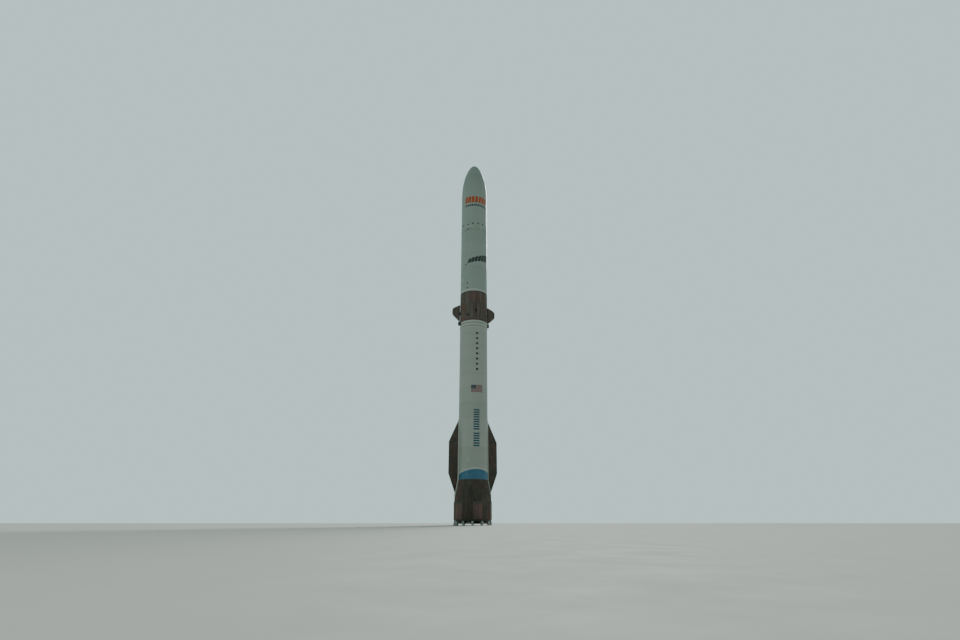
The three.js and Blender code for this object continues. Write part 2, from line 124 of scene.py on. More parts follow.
def blend_colours(tree, mask, first, second, how="MIX"):
    first, second = ((*colour, 1) if isinstance(colour, tuple) else colour for colour in (first, second))
    inputs = {"Factor": mask, "A": first, "B": second}
    return node(tree, "ShaderNodeMix", inputs, data_type="RGBA", blend_type=how)["Result"]


def noise(tree, vector, scale, detail=3.0, roughness=0.55):
    inputs = {"Vector": vector, "Scale": scale, "Detail": detail, "Roughness": roughness}
    return node(tree, "ShaderNodeTexNoise", inputs)["Fac"]


def new_group(name, kind, inputs, outputs):
    """Node group with the named sockets; returns it with its input and output sockets."""
    tree = bpy.data.node_groups.new(name, kind + "NodeTree")
    for in_out, sockets in (("INPUT", inputs), ("OUTPUT", outputs)):
        for label, socket_kind in sockets.items():
            tree.interface.new_socket(label, in_out=in_out, socket_type="NodeSocket" + socket_kind)
    return tree, node(tree, "NodeGroupInput"), tree.nodes.new("NodeGroupOutput").inputs


def shader_group(name, inputs, outputs, build):
    """Shader group on a Vector and floats; build(tree, inputs) returns what its outputs are."""
    inputs = {"Vector": "Vector", **dict.fromkeys(inputs, "Float")}
    tree, given, leave = new_group(name, "Shader", inputs, dict.fromkeys(outputs, "Float"))
    for socket, value in zip(leave, build(tree, given)):
        feed(tree, socket, value)
    return tree


def use_group(tree, group, **values):
    return node(tree, "ShaderNodeGroup", values, node_tree=group)


def build_streaks(tree, given):
    """Long runs down the body: noise that is stretched along Z."""
    stretch = node(tree, "ShaderNodeCombineXYZ", (given["Across"], given["Across"], given["Along"]))[0]
    squeezed = node(tree, "ShaderNodeVectorMath", (given["Vector"], stretch), operation="MULTIPLY")[0]
    wide = noise(tree, squeezed, 1.0, 2.0)
    fine = noise(tree, squeezed, 3.7, 3.0)
    mixed = calc(tree, "MULTIPLY_ADD", fine, 0.45, times(tree, wide, 0.55))
    half = times(tree, given["Softness"], 0.5)
    return [remap(tree, mixed, calc(tree, "SUBTRACT", 0.5, half), calc(tree, "ADD", 0.5, half))]


def build_seams(tree, given):
    """Thin lines at equal heights, with a soft dark run under each, and a tone for each barrel between them."""
    height = node(tree, "ShaderNodeSeparateXYZ", (given["Vector"],))["Z"]
    turns = calc(tree, "DIVIDE", calc(tree, "SUBTRACT", height, given["First"]), given["Pitch"])
    part = calc(tree, "FRACT", turns)
    rest = calc(tree, "SUBTRACT", 1.0, part)
    away = times(tree, calc(tree, "MINIMUM", part, rest), given["Pitch"])
    tone = node(tree, "ShaderNodeTexWhiteNoise", {"W": calc(tree, "FLOOR", turns)}, noise_dimensions="1D")
    return [remap(tree, away, 0.0, given["Width"], 1.0, 0.0), remap(tree, rest, 0.0, 0.35, 1.0, 0.0), tone["Value"]]


def build_grain(tree, given):
    """Fine surface height and patchy wear of a painted or sprayed surface."""
    patches = noise(tree, given["Vector"], given["Patches"], 5.0, 0.62)
    return [noise(tree, given["Vector"], given["Grain"], 2.0), remap(tree, patches, 0.58, 0.72), patches]


STREAKS = shader_group("body_streaks", ["Across", "Along", "Softness"], ["Mask"], build_streaks)
SEAMS = shader_group("barrel_seams", ["First", "Pitch", "Width"], ["Line", "Run", "Tone"], build_seams)
GRAIN = shader_group("surface_grain", ["Grain", "Patches"], ["Height", "Worn", "Patches"], build_grain)
SLOT_OF = {}  # the slot of each material, by the material's name


def streaks(tree, place, across, along, softness):
    return use_group(tree, STREAKS, Vector=place, Across=across, Along=along, Softness=softness)["Mask"]


def new_material(name, slot, grain, patches):
    """Material of a slot; returns it with its tree, its Object coordinates and its grain's outputs."""
    made = bpy.data.materials.new(name)
    made.use_nodes = True
    SLOT_OF[made.name] = slot
    tree = made.node_tree
    place = node(tree, "ShaderNodeTexCoord")["Object"]
    return made, tree, place, use_group(tree, GRAIN, Vector=place, Grain=grain, Patches=patches)


def complete(made, colour, rough, height, depth, strength, metallic=0.0, coat=0.0):
    """Feeds a material's shader its colour, roughness and bump."""
    tree = made.node_tree
    bump = node(tree, "ShaderNodeBump", {"Strength": strength, "Distance": depth, "Height": height})[0]
    inputs = {"Base Color": colour, "Roughness": rough, "Normal": bump, "Metallic": metallic, "Coat Weight": coat}
    for label, value in inputs.items():
        feed(tree, tree.nodes["Principled BSDF"].inputs[label], value)
    return made


def white_body_paint(name, first_seam, pitch, shade, light):
    """White tank paint: a tone between two for each barrel, faint grey runs and thin dark seams."""
    made, tree, place, grain = new_material(name, "white_paint", 420.0, 3.0)
    runs = streaks(tree, place, 11.0, 0.35, 0.6)
    seams = use_group(tree, SEAMS, Vector=place, First=first_seam, Pitch=pitch, Width=0.003)
    stains = ((times(tree, runs, 0.22), (0.43, 0.475, 0.44)),
              (times(tree, times(tree, seams["Run"], runs), 0.16), (0.37, 0.37, 0.33)),
              (times(tree, seams["Line"], 0.5), (0.30, 0.32, 0.31)))
    colour = blend_colours(tree, seams["Tone"], shade, light)
    for mask, stain in stains:
        colour = blend_colours(tree, mask, colour, stain)
    rough = remap(tree, grain["Patches"], 0.3, 0.7, 0.38, 0.52)
    return complete(made, colour, rough, grain["Height"], 0.0003, 0.25, coat=0.15)


def insulation(name, slot, dark, middle, light, red, across=26.0, along=0.5, streaky=0.6):
    """Sprayed thermal protection: runs down the body between three tones, with reddish patches."""
    made, tree, place, grain = new_material(name, slot, 160.0, 14.0)
    wide = streaks(tree, place, across, along, 0.42)
    narrow = streaks(tree, place, across * 2.6, along * 2.2, 0.34)
    broad = streaks(tree, place, 6.0, 1.3 + 0.4 * along, 0.5)
    rusty = remap(tree, noise(tree, place, 4.0, 2.0), 0.5, 0.62, 0.0, 0.75)
    tones = ((times(tree, times(tree, narrow, wide), streaky), light), (rusty, red),
             (times(tree, grain["Worn"], 0.35), light))
    colour = blend_colours(tree, wide, dark, middle)
    for mask, tone in tones:
        colour = blend_colours(tree, mask, colour, tone)
    colour = blend_colours(tree, 1.0, colour, remap(tree, broad, 0.0, 1.0, 0.64, 1.42), "MULTIPLY")
    height = calc(tree, "MULTIPLY_ADD", grain["Height"], 0.5, grain["Patches"])
    return complete(made, colour, remap(tree, grain["Patches"], 0.3, 0.7, 0.7, 0.92), height, 0.002, 0.45)


def flat_paint(name, colour, shade, roughness=0.45, coat=0.1, slot="white_paint", grain_scale=300.0):
    """Plain paint or plastic with soft patches of a second tone and a fine surface."""
    made, tree, _, grain = new_material(name, slot, grain_scale, 9.0)
    tone = blend_colours(tree, remap(tree, grain["Patches"], 0.35, 0.65), colour, shade)
    rough = remap(tree, grain["Patches"], 0.3, 0.7, roughness - 0.08, roughness + 0.1)
    return complete(made, tone, rough, grain["Height"], 0.0003, 0.3, coat=coat)


def brushed_metal(name, colour, tint, roughness):
    """Turned or rolled metal of the slot of its name: fine runs along the part and a patchy heat tint."""
    made, tree, place, grain = new_material(name, name, 500.0, 18.0)
    runs = streaks(tree, place, 60.0, 3.0, 0.6)
    tone = blend_colours(tree, remap(tree, grain["Patches"], 0.35, 0.68), colour, tint)
    tone = blend_colours(tree, times(tree, runs, 0.35), tone, (0.06, 0.055, 0.05))
    rough = remap(tree, runs, 0.0, 1.0, roughness - 0.06, roughness + 0.12)
    return complete(made, tone, rough, runs, 0.0004, 0.3, metallic=0.92)


# Painted shade: both pairs of whites are dimmed from white to a grey-green that stands for the body in shade, lit from
# behind. The upper pair, for the second stage and the fairing, is darker still: painted shade for the weaker light on
# the upper body.
LOWER_SHADED_WHITE = ((0.58, 0.63, 0.59), (0.64, 0.68, 0.65))
UPPER_SHADED_WHITE = ((0.49, 0.575, 0.54), (0.54, 0.625, 0.59))
WHITE_TANK = white_body_paint("white_tank_paint", TANK_LOW, TANK_PITCH, *LOWER_SHADED_WHITE)
WHITE_STAGE2 = white_body_paint("white_upper_stage_paint", STAGE2_LOW, STAGE2_PITCH, *UPPER_SHADED_WHITE)
WHITE_FAIRING = white_body_paint("white_fairing_paint", FAIRING_LOW, 9.1 * M, *UPPER_SHADED_WHITE)
WHITE_TRIM = flat_paint("white_trim_paint", (0.77, 0.78, 0.75), (0.69, 0.70, 0.67))
HATCH_PAINT = flat_paint("hatch_paint", (0.66, 0.69, 0.66), (0.61, 0.64, 0.61))
PORT_COVER = flat_paint("port_cover", (0.18, 0.20, 0.19), (0.24, 0.26, 0.25), 0.6, 0.0, "dark_metal")
STRIP = flat_paint("sealant_strip", (0.40, 0.36, 0.32), (0.29, 0.26, 0.235), 0.75, 0.0, "brown_insulation")
BROWN = insulation("brown_insulation", "brown_insulation", (0.100, 0.083, 0.074), (0.200, 0.163, 0.146),
                   (0.355, 0.298, 0.268), (0.225, 0.122, 0.104))
DARK_BROWN = insulation("dark_insulation", "dark_insulation", (0.085, 0.072, 0.063), (0.136, 0.113, 0.099),
                        (0.208, 0.172, 0.152), (0.170, 0.103, 0.088), across=20.0, along=7.0, streaky=0.4)
LEG_RED = insulation("leg_panel_coat", "leg_panel", (0.225, 0.142, 0.132), (0.260, 0.168, 0.155),
                     (0.300, 0.205, 0.190), (0.270, 0.150, 0.135), across=34.0)
LEG_CAP = insulation("leg_cap_coat", "leg_panel", (0.140, 0.130, 0.118), (0.165, 0.152, 0.138),
                     (0.210, 0.192, 0.172), (0.170, 0.135, 0.120), across=34.0)
# Painted light: the posts get a brighter white than the trim, standing for the light that the feet catch.
LIT_FOOT_PAINT = flat_paint("foot_paint_painted_light", (0.88, 0.89, 0.86), (0.78, 0.79, 0.76), 0.4, 0.2)
DARK_METAL = brushed_metal("dark_metal", (0.10, 0.10, 0.10), (0.055, 0.055, 0.06), 0.45)
NOZZLE_METAL = brushed_metal("nozzle_metal", (0.40, 0.36, 0.33), (0.33, 0.24, 0.18), 0.34)
BARE_METAL = brushed_metal("bare_metal", (0.62, 0.63, 0.64), (0.50, 0.52, 0.54), 0.3)
# Near-black for the injector faces inside the bells, the module ports' covers, and the fairing vents, where it is
# painted shade in their openings.
NEAR_BLACK = flat_paint("near_black_finish", (0.030, 0.027, 0.025), (0.055, 0.048, 0.042), 0.8, 0.0, "dark_metal")
BLUE = flat_paint("blue_band_paint", (0.055, 0.205, 0.365), (0.080, 0.275, 0.440), 0.35, 0.25)
BLUE_MARK = flat_paint("blue_mark_paint", (0.017, 0.092, 0.150), (0.024, 0.115, 0.190), 0.4, 0.2)
ORANGE = flat_paint("orange_mark_paint", (0.74, 0.135, 0.026), (0.60, 0.100, 0.020), 0.4, 0.2)
CHARCOAL = flat_paint("charcoal_mark_paint", (0.040, 0.053, 0.049), (0.062, 0.078, 0.071), 0.5, 0.1)
RED_MARK = flat_paint("red_stripe_paint", (0.32, 0.046, 0.050), (0.27, 0.040, 0.044), 0.4, 0.2)
PALE_STRIPE = flat_paint("pale_stripe_paint", (0.57, 0.58, 0.57), (0.52, 0.53, 0.52), 0.4, 0.2)
NAVY = flat_paint("navy_canton_paint", (0.034, 0.044, 0.090), (0.043, 0.055, 0.107), 0.4, 0.2)
JOINT_GREY = flat_paint("joint_sealant", (0.26, 0.28, 0.26), (0.19, 0.21, 0.20), 0.7, 0.0)
WHITE_MARK = flat_paint("white_mark_paint", (0.76, 0.78, 0.76), (0.71, 0.73, 0.71), 0.4, 0.2)
BLANKET = flat_paint("shield_blanket", (0.20, 0.18, 0.155), (0.14, 0.125, 0.11), 0.85, 0.0, "dark_metal", 140.0)
QUILT = flat_paint("fairing_quilt", (0.62, 0.62, 0.58), (0.52, 0.52, 0.49), 0.85, 0.0, grain_scale=120.0)


# Mesh helpers
def link_object(name, data):
    made = bpy.data.objects.new(name, data)
    bpy.context.scene.collection.objects.link(made)
    return made


def dress(mesh, material, angle=32):
    """Gives a mesh its one material, and smooth shading but for edges sharper than the angle."""
    mesh.materials.clear()
    mesh.materials.append(material)
    mesh.polygons.foreach_set("material_index", [0] * len(mesh.polygons))
    mesh.polygons.foreach_set("use_smooth", [True] * len(mesh.polygons))
    mesh.set_sharp_from_angle(angle=radians(angle))


def as_piece(bm, name, material, angle=32):
    """Turns a bmesh into a shaded piece."""
    mesh = bpy.data.meshes.new(name)
    bm.to_mesh(mesh)
    bm.free()
    dress(mesh, material, angle)
    return link_object(name, mesh)


def carried(piece, body=ROOT, nodes=(), slot=None):
    """Gives a finished piece its body and hides the nodes it stands for; it gives the piece no slot."""
    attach(piece, body)
    slot or SLOT_OF[piece.data.materials[0].name]
    if nodes:
        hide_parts(*nodes)
    return piece


def keep(bm, name, material, angle=32, body=ROOT, nodes=(), slot=None):
    """Turns a bmesh into a clean piece with its normals out, carried by a body."""
    bmesh.ops.remove_doubles(bm, verts=bm.verts, dist=2e-6)
    bmesh.ops.recalc_face_normals(bm, faces=bm.faces)
    return carried(as_piece(bm, name, material, angle), body, nodes, slot)


def turn_z(angle):
    return Matrix.Rotation(angle, 4, "Z")


def add_strip(bm, first, second):
    """Faces all round between two loops of vertices."""
    for k in range(len(first)):
        bm.faces.new([first[k - 1], first[k], second[k], second[k - 1]])


def add_loft(bm, loops):
    """Faces through a row of loops, with both ends capped."""
    for first, second in zip(loops, loops[1:]):
        add_strip(bm, first, second)
    bm.faces.new(loops[0][::-1])
    bm.faces.new(loops[-1])


def add_turned(bm, profile, segments=SMOOTH, place=Matrix(), closed=False, start=0.0, sweep=TURN):
    """Adds a shape turned about Z from (radius, height) points. closed joins the two ends of the profile."""
    columns = segments + (sweep < TURN)
    rings = []
    for radius, height in profile:
        if radius < 1e-7:
            rings.append([bm.verts.new(place @ Vector((0, 0, height)))] * columns)
            continue
        angles = (start + sweep * k / segments for k in range(columns))
        rings.append([bm.verts.new(place @ Vector((radius * cos(a), radius * sin(a), height))) for a in angles])
    for low, high in zip(rings, rings[1:] + rings[:1] if closed else rings[1:]):
        for k in range(segments):
            after = (k + 1) % columns
            corners = [low[k], low[after], high[after], high[k]]
            corners = [v for i, v in enumerate(corners) if v is not corners[i - 1]]
            if len(corners) > 2:
                bm.faces.new(corners)
    if closed and sweep < TURN:
        for column in (0, -1):
            bm.faces.new([ring[column] for ring in rings])


def turned(profile, *how, **more):
    """A new bmesh with one turned shape in it."""
    bm = bmesh.new()
    add_turned(bm, profile, *how, **more)
    return bm


def add_ring(bm, inner, outer, low, high, chamfer, segments=SMOOTH, place=Matrix()):
    """Ring with a rectangular section and its four edges chamfered."""
    c = chamfer
    profile = [(inner + c, low), (outer - c, low), (outer, low + c), (outer, high - c), (outer - c, high),
               (inner + c, high), (inner, high - c), (inner, low + c)]
    add_turned(bm, profile, segments, place, closed=True)


def absorb(bm, part):
    """Moves a shape into another bmesh. Shapes made apart keep the same order of faces in each run."""
    mesh = bpy.data.meshes.new("part")
    part.to_mesh(mesh)
    part.free()
    bm.from_mesh(mesh)
    bpy.data.meshes.remove(mesh)


def add_bar(bm, low, high, bevel, place=Matrix()):
    """Box between two corners, with its edges rounded."""
    low, high = Vector(low), Vector(high)
    sized = Matrix.Translation((low + high) / 2) @ Matrix.Diagonal((*(high - low), 1))
    bar = bmesh.new()
    bmesh.ops.create_cube(bar, size=1.0, matrix=place @ sized)
    bmesh.ops.bevel(bar, geom=bar.edges[:], offset=bevel, segments=2, affect="EDGES", profile=0.5)
    absorb(bm, bar)


def add_rod(bm, start, end, radius, sides=16):
    start, end = Vector(start), Vector(end)
    turn = (end - start).to_track_quat("Z", "Y").to_matrix().to_4x4()
    rod = bmesh.new()
    bmesh.ops.create_cone(rod, cap_ends=True, segments=sides, radius1=radius, radius2=radius,
                          depth=(end - start).length, matrix=Matrix.Translation((start + end) / 2) @ turn)
    absorb(bm, rod)


def add_pipe(bm, points, radius, sides=10):
    """Round pipe along a smooth route of points."""
    points = [Vector(point) for point in points]
    tangents = [(b - a).normalized() for a, b in zip(points[:1] + points[:-1], points[1:] + points[-1:])]
    side = tangents[0].orthogonal().normalized()
    loops = []
    for point, tangent in zip(points, tangents):
        side = (side - tangent * side.dot(tangent)).normalized()
        up = tangent.cross(side)
        angles = (TURN * k / sides for k in range(sides))
        loops.append([bm.verts.new(point + (side * cos(a) + up * sin(a)) * radius) for a in angles])
    add_loft(bm, loops)


def curved(points, steps=6):
    """Smooth route through a few points, as a Catmull-Rom curve."""
    points = [Vector(point) for point in points]
    padded = [points[0] * 2 - points[1], *points, points[-1] * 2 - points[-2]]
    route = []
    for a, b, c, d in zip(padded, padded[1:], padded[2:], padded[3:]):
        for t in (k / steps for k in range(steps)):
            route.append(0.5 * (2 * b + (c - a) * t + (2 * a - 5 * b + 4 * c - d) * t * t
                                + (3 * b - a - 3 * c + d) * t ** 3))
    return [*route, points[-1]]


def corners_of(outline):
    """Each corner of a closed outline, between the ones before and after it."""
    points = [Vector(point) for point in outline]
    return zip(points[-1:] + points, points, points[1:] + points[:1])


def shrunk(outline, distance):
    """Convex outline, counterclockwise, with each side moved in by the distance."""
    corners = []
    for a, b, c in corners_of(outline):
        first, second = (b - a).normalized().orthogonal(), (c - b).normalized().orthogonal()
        middle = (first + second).normalized()
        corners.append(tuple(b + middle * distance / max(middle.dot(first), 0.2)))
    return corners


def rounded(outline, radius, steps=4):
    """Convex outline with each corner replaced by a short curve that starts at most radius from it."""
    route = []
    for a, b, c in corners_of(outline):
        start, end = (b + side * min(radius / side.length, 0.45) for side in (a - b, c - b))
        for t in (k / steps for k in range(steps + 1)):
            route.append(tuple(start * (1 - t) ** 2 + b * 2 * t * (1 - t) + end * t * t))
    return route


def band_of(outline, low, high):
    """The part of a convex outline between two heights."""
    for height, sign in ((low, 1), (high, -1)):
        kept = []
        for a, b in zip(outline, outline[1:] + outline[:1]):
            a_in, b_in = ((point[1] - height) * sign >= 0 for point in (a, b))
            if a_in:
                kept.append(a)
            if a_in != b_in:
                t = (height - a[1]) / (b[1] - a[1])
                kept.append((a[0] + (b[0] - a[0]) * t, height))
        outline = kept
    return outline


def add_plate(bm, outline, half, place=Matrix(), edge=0.0, rim=None, corner=0.0):
    """Upright plate in XZ, half its thickness given, rim at its edge. edge draws its faces in, corner rounds it."""
    rim = half if rim is None else rim
    face = shrunk(outline, edge) if edge else outline
    if corner:
        face = rounded(face, 0.6 * corner)
        outline = rounded(outline, corner)
    layers = ((face, -half), (outline, -rim), (outline, rim), (face, half))
    add_loft(bm, [[bm.verts.new(place @ Vector((x, y, z))) for x, z in points] for points, y in layers])


# Geometry Nodes trees: copies around the rocket's axis, copies along a line, and the ogive shell
def geometry_tree(name, sizes):
    """Tree with a Geometry input, the named sizes and a Material input, and one Geometry output."""
    inputs = {"Geometry": "Geometry", **sizes, "Material": "Material"}
    tree, given, leave = new_group(name, "Geometry", inputs, {"Geometry": "Geometry"})
    return tree, given, leave[0]


def close_tree(tree, shape, given, leave):
    """Ends a tree: real geometry, its material, the output."""
    real = node(tree, "GeometryNodeRealizeInstances", (shape,))[0]
    feed(tree, leave, node(tree, "GeometryNodeSetMaterial", {"Geometry": real, "Material": given["Material"]})[0])
    return tree


def tree_copies_around():
    """Copies of a piece around Z, in rows: Count a row, a Step apart in angle, Rise between rows."""
    sizes = {"Count": "Int", "Rows": "Int", "First": "Float", "Step": "Float", "Rise": "Float"}
    tree, given, leave = geometry_tree("copies_around", sizes)
    total = times(tree, given["Count"], given["Rows"])
    line = node(tree, "GeometryNodeMeshLine", {"Count": total, "Offset": (0, 0, 0)}, mode="OFFSET")[0]
    index = node(tree, "GeometryNodeInputIndex")[0]
    row = calc(tree, "FLOOR", calc(tree, "DIVIDE", calc(tree, "ADD", index, 0.5), given["Count"]))
    column = calc(tree, "SUBTRACT", index, times(tree, row, given["Count"]))
    angle = calc(tree, "MULTIPLY_ADD", column, given["Step"], given["First"])
    lift = node(tree, "ShaderNodeCombineXYZ", {"Z": times(tree, row, given["Rise"])})[0]
    turn = node(tree, "ShaderNodeCombineXYZ", {"Z": angle})[0]
    raised = node(tree, "GeometryNodeSetPosition", {"Geometry": line, "Offset": lift})[0]
    copies = {"Points": raised, "Instance": given["Geometry"], "Rotation": turn}
    return close_tree(tree, node(tree, "GeometryNodeInstanceOnPoints", copies)[0], given, leave)


def tree_copies_along():
    """Copies of a piece at equal steps along a straight line."""
    tree, given, leave = geometry_tree("copies_along", {"Count": "Int", "Start": "Vector", "Offset": "Vector"})
    route = {"Count": given["Count"], "Start Location": given["Start"], "Offset": given["Offset"]}
    line = node(tree, "GeometryNodeMeshLine", route, mode="OFFSET")[0]
    copies = {"Points": line, "Instance": given["Geometry"]}
    return close_tree(tree, node(tree, "GeometryNodeInstanceOnPoints", copies)[0], given, leave)


def tree_ogive():
    """Skin of the fairing: straight up to Shoulder, then a blunt curve to Tip, over Sweep from First."""
    sizes = dict.fromkeys(("Radius", "Foot", "Shoulder", "Tip", "First", "Sweep", "Straight Share"), "Float")
    tree, given, leave = geometry_tree("ogive_skin", {**sizes, "Columns": "Int", "Rows": "Int"})
    sides = {"Size X": 1.0, "Size Y": 1.0, "Vertices X": given["Columns"], "Vertices Y": given["Rows"]}
    grid = node(tree, "GeometryNodeMeshGrid", sides)["Mesh"]
    place = node(tree, "ShaderNodeSeparateXYZ", node(tree, "GeometryNodeInputPosition")[:1])
    across, along = (calc(tree, "ADD", place[axis], 0.5) for axis in ("X", "Y"))
    share = given["Straight Share"]
    straight = remap(tree, along, 0.0, share, given["Foot"], given["Shoulder"])
    past = calc(tree, "DIVIDE", calc(tree, "SUBTRACT", along, share), calc(tree, "SUBTRACT", 1.0, share), clamp=True)
    quarter = times(tree, past, pi / 2)
    length = calc(tree, "SUBTRACT", given["Tip"], given["Shoulder"])
    height = calc(tree, "MULTIPLY_ADD", calc(tree, "SINE", quarter), length, straight)
    narrowing = calc(tree, "POWER", calc(tree, "MAXIMUM", calc(tree, "COSINE", quarter), 0.0), NOSE_POWER)
    radius = times(tree, given["Radius"], narrowing)
    angle = calc(tree, "MULTIPLY_ADD", across, given["Sweep"], given["First"])
    x, y = (times(tree, radius, calc(tree, wave, angle)) for wave in ("COSINE", "SINE"))
    spot = node(tree, "ShaderNodeCombineXYZ", (x, y, height))[0]
    shaped = node(tree, "GeometryNodeSetPosition", {"Geometry": grid, "Position": spot})[0]
    merged = node(tree, "GeometryNodeMergeByDistance", {"Geometry": shaped, "Distance": 2e-5})[0]
    return close_tree(tree, merged, given, leave)


AROUND = tree_copies_around()
ALONG = tree_copies_along()
OGIVE = tree_ogive()


def bake_modifiers(piece):
    """Applies a piece's modifiers to its mesh."""
    graph = bpy.context.evaluated_depsgraph_get()
    mesh = bpy.data.meshes.new_from_object(piece.evaluated_get(graph))
    piece.modifiers.clear()
    piece.data = mesh
    mesh.name = piece.name


def grown(name, tree, seed, material, sizes):
    """Runs a tree on a seed bmesh and keeps the result as a plain, loose piece."""
    bmesh.ops.recalc_face_normals(seed, faces=seed.faces)
    piece = as_piece(seed, name, material)
    modifier = piece.modifiers.new("grow", "NODES")
    modifier.node_group = tree
    values = {**sizes, "Material": material}
    for item in tree.interface.items_tree:
        if item.in_out == "INPUT" and item.name in values:
            modifier[item.identifier] = values[item.name]
    bake_modifiers(piece)
    dress(piece.data, material)
    return piece


def copies_around(name, seed, material, count, first=0.0, step=None, rows=1, rise=0.0):
    """Loose piece of copies of a bmesh round the rocket's axis, evenly spaced unless a step is given."""
    sizes = {"Count": count, "Rows": rows, "First": first, "Step": step or TURN / count, "Rise": rise}
    return grown(name, AROUND, seed, material, sizes)


def bolts_around(name, radius, height, size, count, material):
    """Bolt heads round the body, standing out from it."""
    seed = bmesh.new()
    add_rod(seed, (radius - size, 0, height), (radius + 0.6 * size, 0, height), size, 6)
    return copies_around(name, seed, material, count)


def face_bolts_around(name, circle, low, high, size, count):
    """Bolts through a flat face, standing along Z."""
    seed = bmesh.new()
    add_rod(seed, (circle, 0, low), (circle, 0, high), size, 6)
    carried(copies_around(name, seed, BARE_METAL, count))


def tiles_around(name, profile, material, count, first, wide, gap, columns=6, step=None):
    """Loose piece of curved tiles round the body, each wide in angle less a gap at both its sides."""
    seed = turned(profile, columns, closed=True, start=gap - wide / 2, sweep=wide - 2 * gap)
    return copies_around(name, seed, material, count, first, step)


def joined(name, pieces):
    """One piece from several that share a material."""
    material = pieces[0].data.materials[0]
    bm = bmesh.new()
    for piece in pieces:
        bm.from_mesh(piece.data)
        bpy.data.objects.remove(piece)
    return as_piece(bm, name, material)


# Painted marks: thin sheets that lie on the round body
def add_mark(bm, facing, left, right, low, high, slant=0.0, radius=BODY_R, top=None, columns=None):
    """Sheet on the body from left to right of a meridian, in metres of arc. top(u) may shape its upper edge."""
    count = columns or max(2, int((right - left) / (0.06 * M)) + 1)
    steps = max(1, ceil(abs(slant) / (0.1 * M)))
    layers = []
    for reach in (radius + MARK_LIFT, radius + MARK_LIFT + MARK_THICKNESS):
        rows = []
        for share in (step / steps for step in range(steps + 1)):
            row = []
            for u in (left + (right - left) * k / count for k in range(count + 1)):
                angle = facing + (u + slant * share) / BODY_R
                height = low + ((top(u) if top else high) - low) * share
                row.append(bm.verts.new((reach * cos(angle), reach * sin(angle), height)))
            rows.append(row)
        layers.append(rows)
    inner, outer = layers
    strips = [(inner[0], outer[0]), (inner[-1], outer[-1])]
    strips += [pair for rows in layers for pair in zip(rows, rows[1:])]
    strips += [([row[k] for row in inner], [row[k] for row in outer]) for k in (0, count)]
    for first, second in strips:
        for k in range(len(first) - 1):
            bm.faces.new([first[k], first[k + 1], second[k + 1], second[k]])


def marks(name, material, cells, body=ROOT, facings=(FRONT, BACK), lift=0.0):
    """One piece from a table of cells: left, right, low, high and slant, in full-size metres."""
    bm = bmesh.new()
    for facing in facings:
        for cell in cells:
            add_mark(bm, facing, *(size * M for size in cell), radius=BODY_R + lift)
    keep(bm, name, material, 20, body)


# Feet and aft end
def make_feet():
    """White tapered posts with a flange at each end, under a dark ring frame."""
    place = Matrix.Translation((FOOT_CIRCLE, 0, 0))
    post = [(0, 0), (3.2, 0), (3.2, 0.5), (2.9, 0.8), (2.75, 1.0), (2.55, 5.0), (2.5, 6.6), (2.9, 6.9), (2.9, 7.6),
            (2.5, 7.8), (2.5, 9.0), (0, 9.0)]
    seed = turned([(radius * 0.1 * M, height * 0.1 * M) for radius, height in post], 28, place)
    rib = [(0.020, 0.004), (0.031, 0.004), (0.024, 0.050)]
    for k in range(4):
        add_plate(seed, rib, 0.7 * MM, place @ turn_z(pi * (0.25 + k / 2)))
    # The posts' brighter white is painted light.
    carried(copies_around("hold_down_posts", seed, LIT_FOOT_PAINT, 12, radians(15)), nodes=["hold_down_feet"])
    inner = 3.92 * M
    profile = [(inner, RING_LOW), (SKIRT_R - 3 * MM, RING_LOW), (SKIRT_R, RING_LOW + 3 * MM),
               (SKIRT_R, RING_LOW + 8 * MM), (SKIRT_R - 4 * MM, RING_LOW + 10 * MM),
               (SKIRT_R - 4 * MM, SKIRT_LOW - 2 * MM), (SKIRT_R - MM, SKIRT_LOW - 0.4 * MM),
               (inner, SKIRT_LOW - 0.4 * MM)]
    keep(turned(profile, closed=True), "aft_ring_frame", DARK_METAL)
    carried(bolts_around("aft_ring_bolts", SKIRT_R - 4 * MM, 1.0 * M, 1.8 * MM, 96, BARE_METAL))


def skirt_radius(height):
    share = min(max((height - SKIRT_SHOULDER) / (SKIRT_HIGH - SKIRT_SHOULDER), 0.0), 1.0)
    return SKIRT_R + (BODY_R - SKIRT_R) * share


def skirt_tiles(low, high, count, first, wide, columns):
    """Row of thin tiles that lie on the skirt between two heights."""
    sunk, proud = -2 * MM, 0.6 * MM
    corners = ((low, sunk), (low, proud), (high, proud), (high, sunk))
    profile = [(skirt_radius(height) + rise, height) for height, rise in corners]
    return tiles_around("skirt_tile_row", profile, DARK_BROWN, count, first, wide, radians(0.35), columns)


